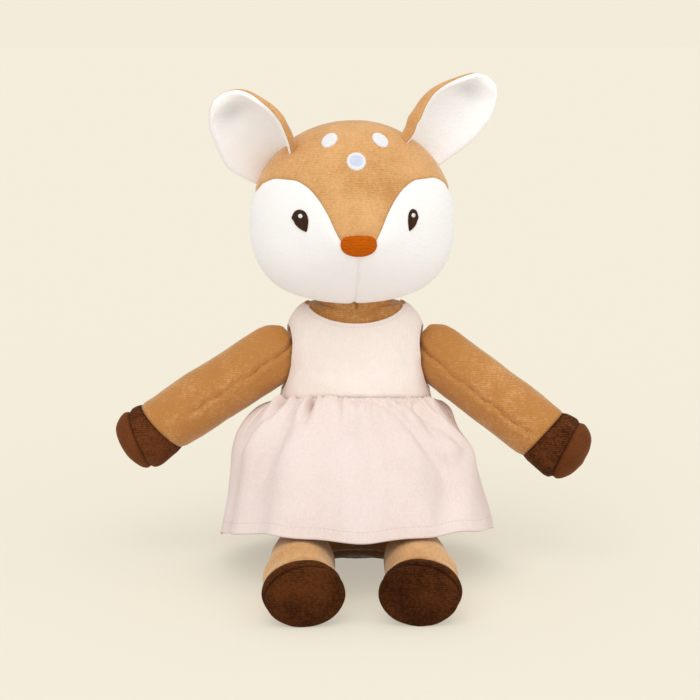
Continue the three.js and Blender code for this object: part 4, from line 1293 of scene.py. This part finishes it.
class DEER_OT_face(Operator):
    """Stitch the nose, the eyes with their glints and the forehead spots"""
    bl_idname = "deer.face"
    bl_label = "Face"

    def execute(self, context):
        def stitch(name, kind, node, *values):
            add_piece(f"stitched_{name}", stitched_patch(*values), head_place(), kind, "head", node)

        outline = NOSE_HALF + [(-x, z) for x, z in NOSE_HALF[:0:-1]]
        stitch("nose", "nose", "nose", smooth_outline(outline), (0, -NOSE["down"]), NOSE["high"])
        shape = oval(MID_SPOT["half_width"], MID_SPOT["half_height"], 72, 2, 0.01)
        stitch("spot_centre", "round_spot", "spot_centre", shape, (0, MID_SPOT["up"]), MID_SPOT["high"])
        for name, side in SIDES.items():
            outline = [(side * EYE_WIDTH[name] * x, z) for x, z in EYE_OUTLINE]
            middle = (side * EYE["across"], EYE["up"])
            stitch(f"eye_{name}", "eye", f"eye_{name}", smooth_outline(outline), middle, EYE["high"])
            shape = oval(GLINT["half_size"], GLINT["half_size"], 36, 1.7, 0.03)
            middle = (middle[0], middle[1] + GLINT["up"])
            high = EYE["high"] + GLINT["high"]
            stitch(f"glint_{name}", "thread", f"eye_glint_{name}", shape, middle, high, 8)
            shape = oval(SIDE_SPOT["half_width"], SIDE_SPOT["half_height"], 72, 2.1, 0.01)
            middle = (side * SIDE_SPOT["across"], SIDE_SPOT["up"])
            tilt = -side * SIDE_SPOT["tilt"]
            stitch(f"spot_{name}", "thread", f"spot_{name}", shape, middle, SIDE_SPOT["high"], 16, tilt)
        return {"FINISHED"}


class DEER_OT_ears(Operator):
    """Sew each ear from a tan back and a white lining that meet in a rolled rim"""
    bl_idname = "deer.ears"
    bl_label = "Ears"

    def execute(self, context):
        for name, side in SIDES.items():
            for leaf_name, depth, kind, outward in (
                ("back", back_depth, "tan", -side),
                ("lining", lining_depth, "white", side),
            ):
                points, cloth = ear_grid(name, depth)
                leaf = open_grid(points, cloth).face(np.array([0, 0, outward]))
                # The lining carries painted shade in its hollow under the rim
                if leaf_name == "lining":
                    leaf.nap = ear_hollow_shade(name, cloth)
                rim = list(np.concatenate([points[:, 0], points[:, -1], points[-1]]))
                leaf.seam = np.minimum(leaf.seam, distance_to(leaf.points, rim) + 0.5)
                swell([leaf], f"ear_{name}")
                add_piece(
                    f"ear_{leaf_name}_plush_{name}", leaf, ear_place(name, side), kind, f"ear_{name}",
                    f"ear_{leaf_name}_{name}",
                )
        return {"FINISHED"}


class DEER_OT_torso(Operator):
    """Sew the torso and its seat gusset round the stuffing, the pellet bag and the neck"""
    bl_idname = "deer.torso"
    bl_label = "Torso and neck"

    def execute(self, context):
        form = torso_surface(0, *GRIDS["torso"])
        roots = [(shoulder(side), ARM["root_radius"] + ROOT_ROOM["arm"]) for side in SIDES.values()]
        roots += [(hip(side), LEG["root_radius"] + ROOT_ROOM["leg"]) for side in SIDES.values()]
        keep_off(form, roots)
        form.find_normals()
        form.face_out()
        edge = []
        skin = form.clip(lambda p: p[:, 2] - GUSSET_HEIGHT, edge)
        gusset = form.clip(lambda p: GUSSET_HEIGHT - p[:, 2])
        sides = [
            p for p in form.points
            if GUSSET_HEIGHT < p[2] < WAIST["up"] and abs(p[1] - torso_back(p[2])) < SEAM_BAND["side"]
        ]
        press_seams([skin, gusset], edge, "gusset")
        press_seams([skin], sides, "side")
        gusset.data[:, 2] = np.maximum(gusset.data[:, 2], 0)
        piece = add_piece("plush_torso", skin, None, "tan_limb", "torso", "torso_skin")
        add_piece("plush_gusset", gusset, None, "tan_limb", "torso", "seat_gusset")
        filling = torso_surface(-PLUSH_THICK - FILL_GAP["torso"], *GRIDS["torso_fill"])
        keep_off(filling, roots, ROOT_ROOM["stuffing"])
        add_piece("fill_torso", filling, None, "fill", "torso", "torso_stuffing")
        bag = pellet_surface()
        swell([bag], "pellets")
        add_piece("pellet_pouch", bag, None, "tape", "torso", "pellet_bag")
        neck = ball(neck_centre(), NECK["radius"])
        neck = neck.clip(lambda p: p[:, 2] - TORSO["height"] + NECK["sunk"])
        swell([neck], "neck")
        band, middle = SEAM_BAND["neck"], neck_centre()[1]
        front = [p for p in neck.points if abs(p[0]) < band and p[1] < middle]
        press_seams([neck], front, "neck")
        add_piece("plush_neck", neck, None, "tan_limb", "neck", "neck")
        return {"FINISHED"}


def press_front(sleeve, line):
    """Pulls the front seam of a sleeve in and puffs the plush beside it."""
    sizes = bpy.context.scene.deer_sizes
    far = distance_to(sleeve.points, line)
    sleeve.seam = np.minimum(sleeve.seam, 1.8 * far)
    rough = 1 + 0.7 * noise_at(sleeve.points, 0.4, 15)
    sleeve.move(-sizes.seam_depth * 0.8 * rough * bell(far / sizes.seam_reach * 1.4))
    sleeve.move(0.5 * rough * bell((far - 3) / 1.8))


def sew_limb(kind, name, side, limb, rows, place, hoof_field, end_field, pieces):
    """The sleeve, the hoof's band and end, the stuffing and the gathered root of one limb."""
    form = limb_surface(limb, rows, *GRIDS["limb"])
    if kind == "leg":
        aside = unit(side * form.points[:, 0] / limb["radius"])
        along = (-form.points[:, 1] / limb["length"] - ANKLE["at"]) / ANKLE["reach"]
        form.data[:, 0] += side * ANKLE["bulge"] * aside * bell(along)
    cuff, crease = [], []
    sleeve = form.clip(lambda p: -hoof_field(p), cuff)
    hoof = form.clip(hoof_field)
    band = hoof.clip(lambda p: -end_field(p), crease)
    parts = [sleeve, band, hoof.clip(end_field)]
    swell(parts, f"limb_{name}")
    press_seams(parts, cuff, "cuff")
    press_seams(parts[1:], crease, "hoof")
    if kind == "arm":
        press_front(sleeve, limb_front(limb, rows, -side, FRONT_SEAM_END[name]))
    body = f"{kind}_{name}"
    for part, (label, finish, node) in zip(parts, pieces):
        piece = add_piece(f"plush_{label}_{name}", part, place, finish, body, f"{node}_{name}")
    filling = limb_surface(limb, rows, *GRIDS["limb_fill"], -PLUSH_THICK - FILL_GAP["limb"])
    filling = filling.clip(lambda p: -p[:, 1] - limb["root_radius"] - 0.3)
    add_piece(f"fill_{body}", filling, place, "fill", body, f"{kind}_stuffing_{name}")
    root = ball(np.zeros(3), limb["root_radius"] - ROOT_SHRINK, 40)
    node = f"{kind}_root_{name}"
    add_piece(f"gathered_{node}", root, place, "tan_limb", node, node)


class DEER_OT_arms(Operator):
    """Sew both arms with their front seam and two-piece hooves"""
    bl_idname = "deer.arms"
    bl_label = "Arms"

    def execute(self, context):
        pieces = (
            ("arm", "tan_limb", "arm_sleeve"),
            ("hand_hoof_band", "brown_hand", "hand_hoof_band"),
            ("hand_hoof_end", "brown_end", "hand_hoof_end"),
        )
        for name, side in SIDES.items():
            hoof_at = ARM["length"] - HAND_HOOF_LENGTH[name]
            end_at = ARM["length"] - ARM["end_length"]
            tilt = math.tan(HAND_HOOF_TILT[name])
            place = placed(shoulder(side), ARM_DROP[name], side * (math.pi / 2 - ARM_FORWARD[name]))
            sew_limb(
                "arm", name, side, ARM, ARM_ROWS, place,
                lambda p: -p[:, 1] - hoof_at + tilt * p[:, 2],
                lambda p: -p[:, 1] - end_at + ARM["end_slope"] * p[:, 2],
                pieces,
            )
        return {"FINISHED"}


class DEER_OT_legs(Operator):
    """Sew both legs with their hooves and soles, pressed flat where they lie"""
    bl_idname = "deer.legs"
    bl_label = "Legs"

    def execute(self, context):
        pieces = (
            ("leg", "tan_leg", "leg_sleeve"),
            ("foot_hoof_band", "brown", "foot_hoof_band"),
            ("foot_sole", "brown", "foot_sole"),
        )
        hoof_at = LEG["length"] - LEG["hoof_length"]
        sole_at = LEG["length"] - LEG["sole_length"]
        tilt = math.tan(LEG["hoof_tilt"])
        out, back = SOLE_LEAN["out"], SOLE_LEAN["back"]
        for name, side in SIDES.items():
            sew_limb(
                "leg", name, side, LEG, LEG_ROWS, placed(hip(side), 0, side * LEG["splay"]),
                lambda p: -p[:, 1] - hoof_at + tilt * p[:, 2] - HOOF_LEAN * side * p[:, 0],
                lambda p: -p[:, 1] - sole_at - back * p[:, 2] - out * side * p[:, 0],
                pieces,
            )
        for piece in bpy.data.objects:
            if piece.name.startswith(("plush_leg", "plush_foot")):
                for vertex in piece.data.vertices:
                    vertex.co.z = max(vertex.co.z, 0)
        return {"FINISHED"}


class DEER_OT_bodice(Operator):
    """Sew the bodice: a front, two backs that lap at the middle, and the strips that close it"""
    bl_idname = "deer.bodice"
    bl_label = "Bodice"

    def execute(self, context):
        for name in FLAT_SHARES:
            form = bodice_surface(BODICE["grow"])
            if name == "back_right":
                near = unit((form.points[:, 0] + CLOSURE["lap"] + 4) / 5)
                form.move(3 * near * near * (3 - 2 * near) * (form.points[:, 1] > SIDE_SEAM_BACK))
            edge = []
            part = form.clip(worn_field, edge)
            part = part.clip(lambda p: bodice_field(name, p))
            edge = [p for p in edge if above_waist(p[None])[0] > 2]
            slack = waves(part.points, SLACK)
            part.seam = np.minimum(part.seam, distance_to(part.points, edge))
            over = above_waist(part.points)
            loose = unit(part.seam / BODICE["loose_in"]) * unit(over / BODICE["loose_up"])
            press = BODICE["waist_press"] * bell(np.maximum(over, 0) / BODICE["waist_reach"])
            part.move(BODICE["slack"] * slack * loose + BODICE["lift"] - press)
            reach = BODICE["arm_reach"]
            under_arm = unit((ARMHOLE["up"] + 1 - part.points[:, 2]) / reach)
            part.move(-BODICE["arm_press"] * under_arm * bell(part.seam / reach))
            sheet = thickened(part, COTTON_THICK)
            piece = add_piece(f"cotton_bodice_{name}", sheet, None, "cotton", "torso", f"bodice_{name}")
            wide = torso_row(ARMHOLE["up"])[0][0] * FLAT_SHARES[name] * TO_METRES
        for label, grow in (("loop", 2.2), ("hook", 3.2)):
            strip = thickened(bodice_surface(grow + CLOSURE["thick"]).clip(tape_field), CLOSURE["thick"])
            add_piece(f"{label}_tape", strip, None, "tape", "torso", f"closure_{label}_strip")
        return {"FINISHED"}


class DEER_OT_skirt(Operator):
    """Gather the front and the back of the skirt into the waist seam"""
    bl_idname = "deer.skirt"
    bl_label = "Skirt"

    def execute(self, context):
        quarter = math.pi / 2
        rows, columns, spare = SKIRT["rows"], SKIRT["columns"], SKIRT["spare"]
        step = 2 * quarter / (columns - 1 - 2 * spare)
        for name, start in (("front", -quarter), ("back", quarter)):
            across = start + step * (np.arange(columns) - spare)
            angle, down = np.meshgrid(across, np.linspace(0, 1, rows) ** 1.25)
            points = skirt_points(angle, down)
            apart = np.linalg.norm(np.diff(points, axis=0), axis=2)
            length = np.vstack([np.zeros(columns), np.cumsum(apart, 0)])
            cloth = np.stack([angle * SKIRT["cloth_radius"], length], -1)
            sheet = open_grid(points, cloth).face_round(SKIRT["forward"])
            sheet.move(skirt_rise(angle.ravel(), down.ravel()))
            sheet.find_normals()
            kept = np.zeros((rows, columns), bool)
            kept[:, spare:columns - spare] = True
            sheet = grid_part(sheet, kept.ravel())
            hem = (length[-1] - length)[:, spare:columns - spare].ravel()
            sheet.seam = np.where(hem < SKIRT["hem_reach"], hem + 0.2, SKIRT["hem_reach"])
            sheet = thickened(sheet, COTTON_THICK)
            piece = add_piece(f"cotton_skirt_{name}", sheet, None, "cotton_skirt", "torso", f"skirt_{name}")
        return {"FINISHED"}


class DEER_OT_stage(Operator):
    """Lay the pale floor, set the soft lights and place the camera"""
    bl_idname = "deer.stage"
    bl_label = "Stage"

    def execute(self, context):
        colours = context.scene.deer_colours
        pale = (*colours.floor, 1)

        def added(name, data):
            made = bpy.data.objects.new(name, data)
            context.scene.collection.objects.link(made)
            return made

        mesh = bpy.data.meshes.new("floor")
        corners = [(x * FLOOR_HALF, y * FLOOR_HALF, 0) for x, y in ((-1, -1), (1, -1), (1, 1), (-1, 1))]
        mesh.from_pydata(corners, [], [(0, 1, 2, 3)])
        floor = added("floor", mesh)
        finish = Finish("studio_floor", 0.9, specular=0)
        seen = finish.node("ShaderNodeLightPath").outputs["Is Camera Ray"]
        finish.colour(finish.mix(tuple(colours.bounce), tuple(colours.floor), seen))
        glow = finish.node("ShaderNodeEmission", {"Color": pale, "Strength": 1.0})
        shares = (Number(finish, seen) * FLOOR_LIFT, finish.shader.outputs[0], glow.outputs[0])
        lifted = finish.node("ShaderNodeMixShader", shares)
        finish.give(finish.first("OUTPUT_MATERIAL").inputs["Surface"], lifted.outputs[0])
        mesh.materials.append(finish.material)
        world = bpy.data.worlds.new("studio")
        context.scene.world = world
        world.use_nodes = True
        studio = Nodes(world.node_tree)
        sky = studio.first("BACKGROUND")
        studio.give(sky.inputs["Color"], SKY["tint"])
        studio.give(sky.inputs["Strength"], SKY["strength"])
        wall = studio.node("ShaderNodeBackground", {"Color": pale})
        seen = studio.node("ShaderNodeLightPath").outputs["Is Camera Ray"]
        chosen = studio.node("ShaderNodeMixShader", (seen, sky.outputs[0], wall.outputs[0]))
        studio.give(studio.first("OUTPUT_WORLD").inputs["Surface"], chosen.outputs[0])
        for name, strength, spread, tilt, turn in LAMPS:
            lamp = bpy.data.lights.new(name, "SUN")
            lamp.energy = strength
            lamp.angle = math.radians(spread)
            added(name, lamp).rotation_euler = Euler((math.radians(tilt), 0, math.radians(turn)), "XYZ")
        data = bpy.data.cameras.new("camera")
        data.sensor_width = SENSOR
        data.lens = FOCAL_PIXELS * SENSOR / PICTURE_PIXELS
        data.clip_end = 100
        camera = added("camera", data)
        azimuth, elevation = math.radians(CAMERA["azimuth"]), math.radians(CAMERA["elevation"])
        level = math.cos(elevation)
        back = Vector((math.sin(azimuth) * level, -math.cos(azimuth) * level, math.sin(elevation)))
        camera.location = (Vector(CAMERA["target"]) + back * CAMERA["range"]) * TO_METRES
        camera.rotation_euler = back.to_track_quat("Z", "Y").to_euler()
        context.scene.camera = camera
        context.scene.view_settings.view_transform = "Standard"
        return {"FINISHED"}


class DEER_PT_pieces(Panel):
    """The sizes, the colours and the pieces of the deer"""
    bl_idname = "DEER_PT_pieces"
    bl_label = "Plush deer"
    bl_space_type = "VIEW_3D"
    bl_region_type = "UI"
    bl_category = "Deer"

    def draw(self, context):
        for group in (context.scene.deer_sizes, context.scene.deer_colours):
            box = self.layout.box()
            for key in type(group).__annotations__:
                box.prop(group, key)
        for operator in OPERATORS:
            self.layout.operator(operator.bl_idname)


OPERATORS = (
    DEER_OT_head,
    DEER_OT_face,
    DEER_OT_ears,
    DEER_OT_torso,
    DEER_OT_arms,
    DEER_OT_legs,
    DEER_OT_bodice,
    DEER_OT_skirt,
    DEER_OT_stage,
)
CLASSES = (DeerColours, DeerSizes, *OPERATORS, DEER_PT_pieces)


def register():
    for cls in CLASSES:
        bpy.utils.register_class(cls)
    bpy.types.Scene.deer_colours = PointerProperty(type=DeerColours)
    bpy.types.Scene.deer_sizes = PointerProperty(type=DeerSizes)


def unregister():
    del bpy.types.Scene.deer_sizes
    del bpy.types.Scene.deer_colours
    for cls in reversed(CLASSES):
        bpy.utils.unregister_class(cls)


def main():
    register()
    bpy.ops.deer.stage()
    bpy.ops.deer.head()
    bpy.ops.deer.face()
    bpy.ops.deer.ears()
    bpy.ops.deer.torso()
    bpy.ops.deer.arms()
    bpy.ops.deer.legs()
    bpy.ops.deer.bodice()
    bpy.ops.deer.skirt()


if __name__ == "__main__":
    main()
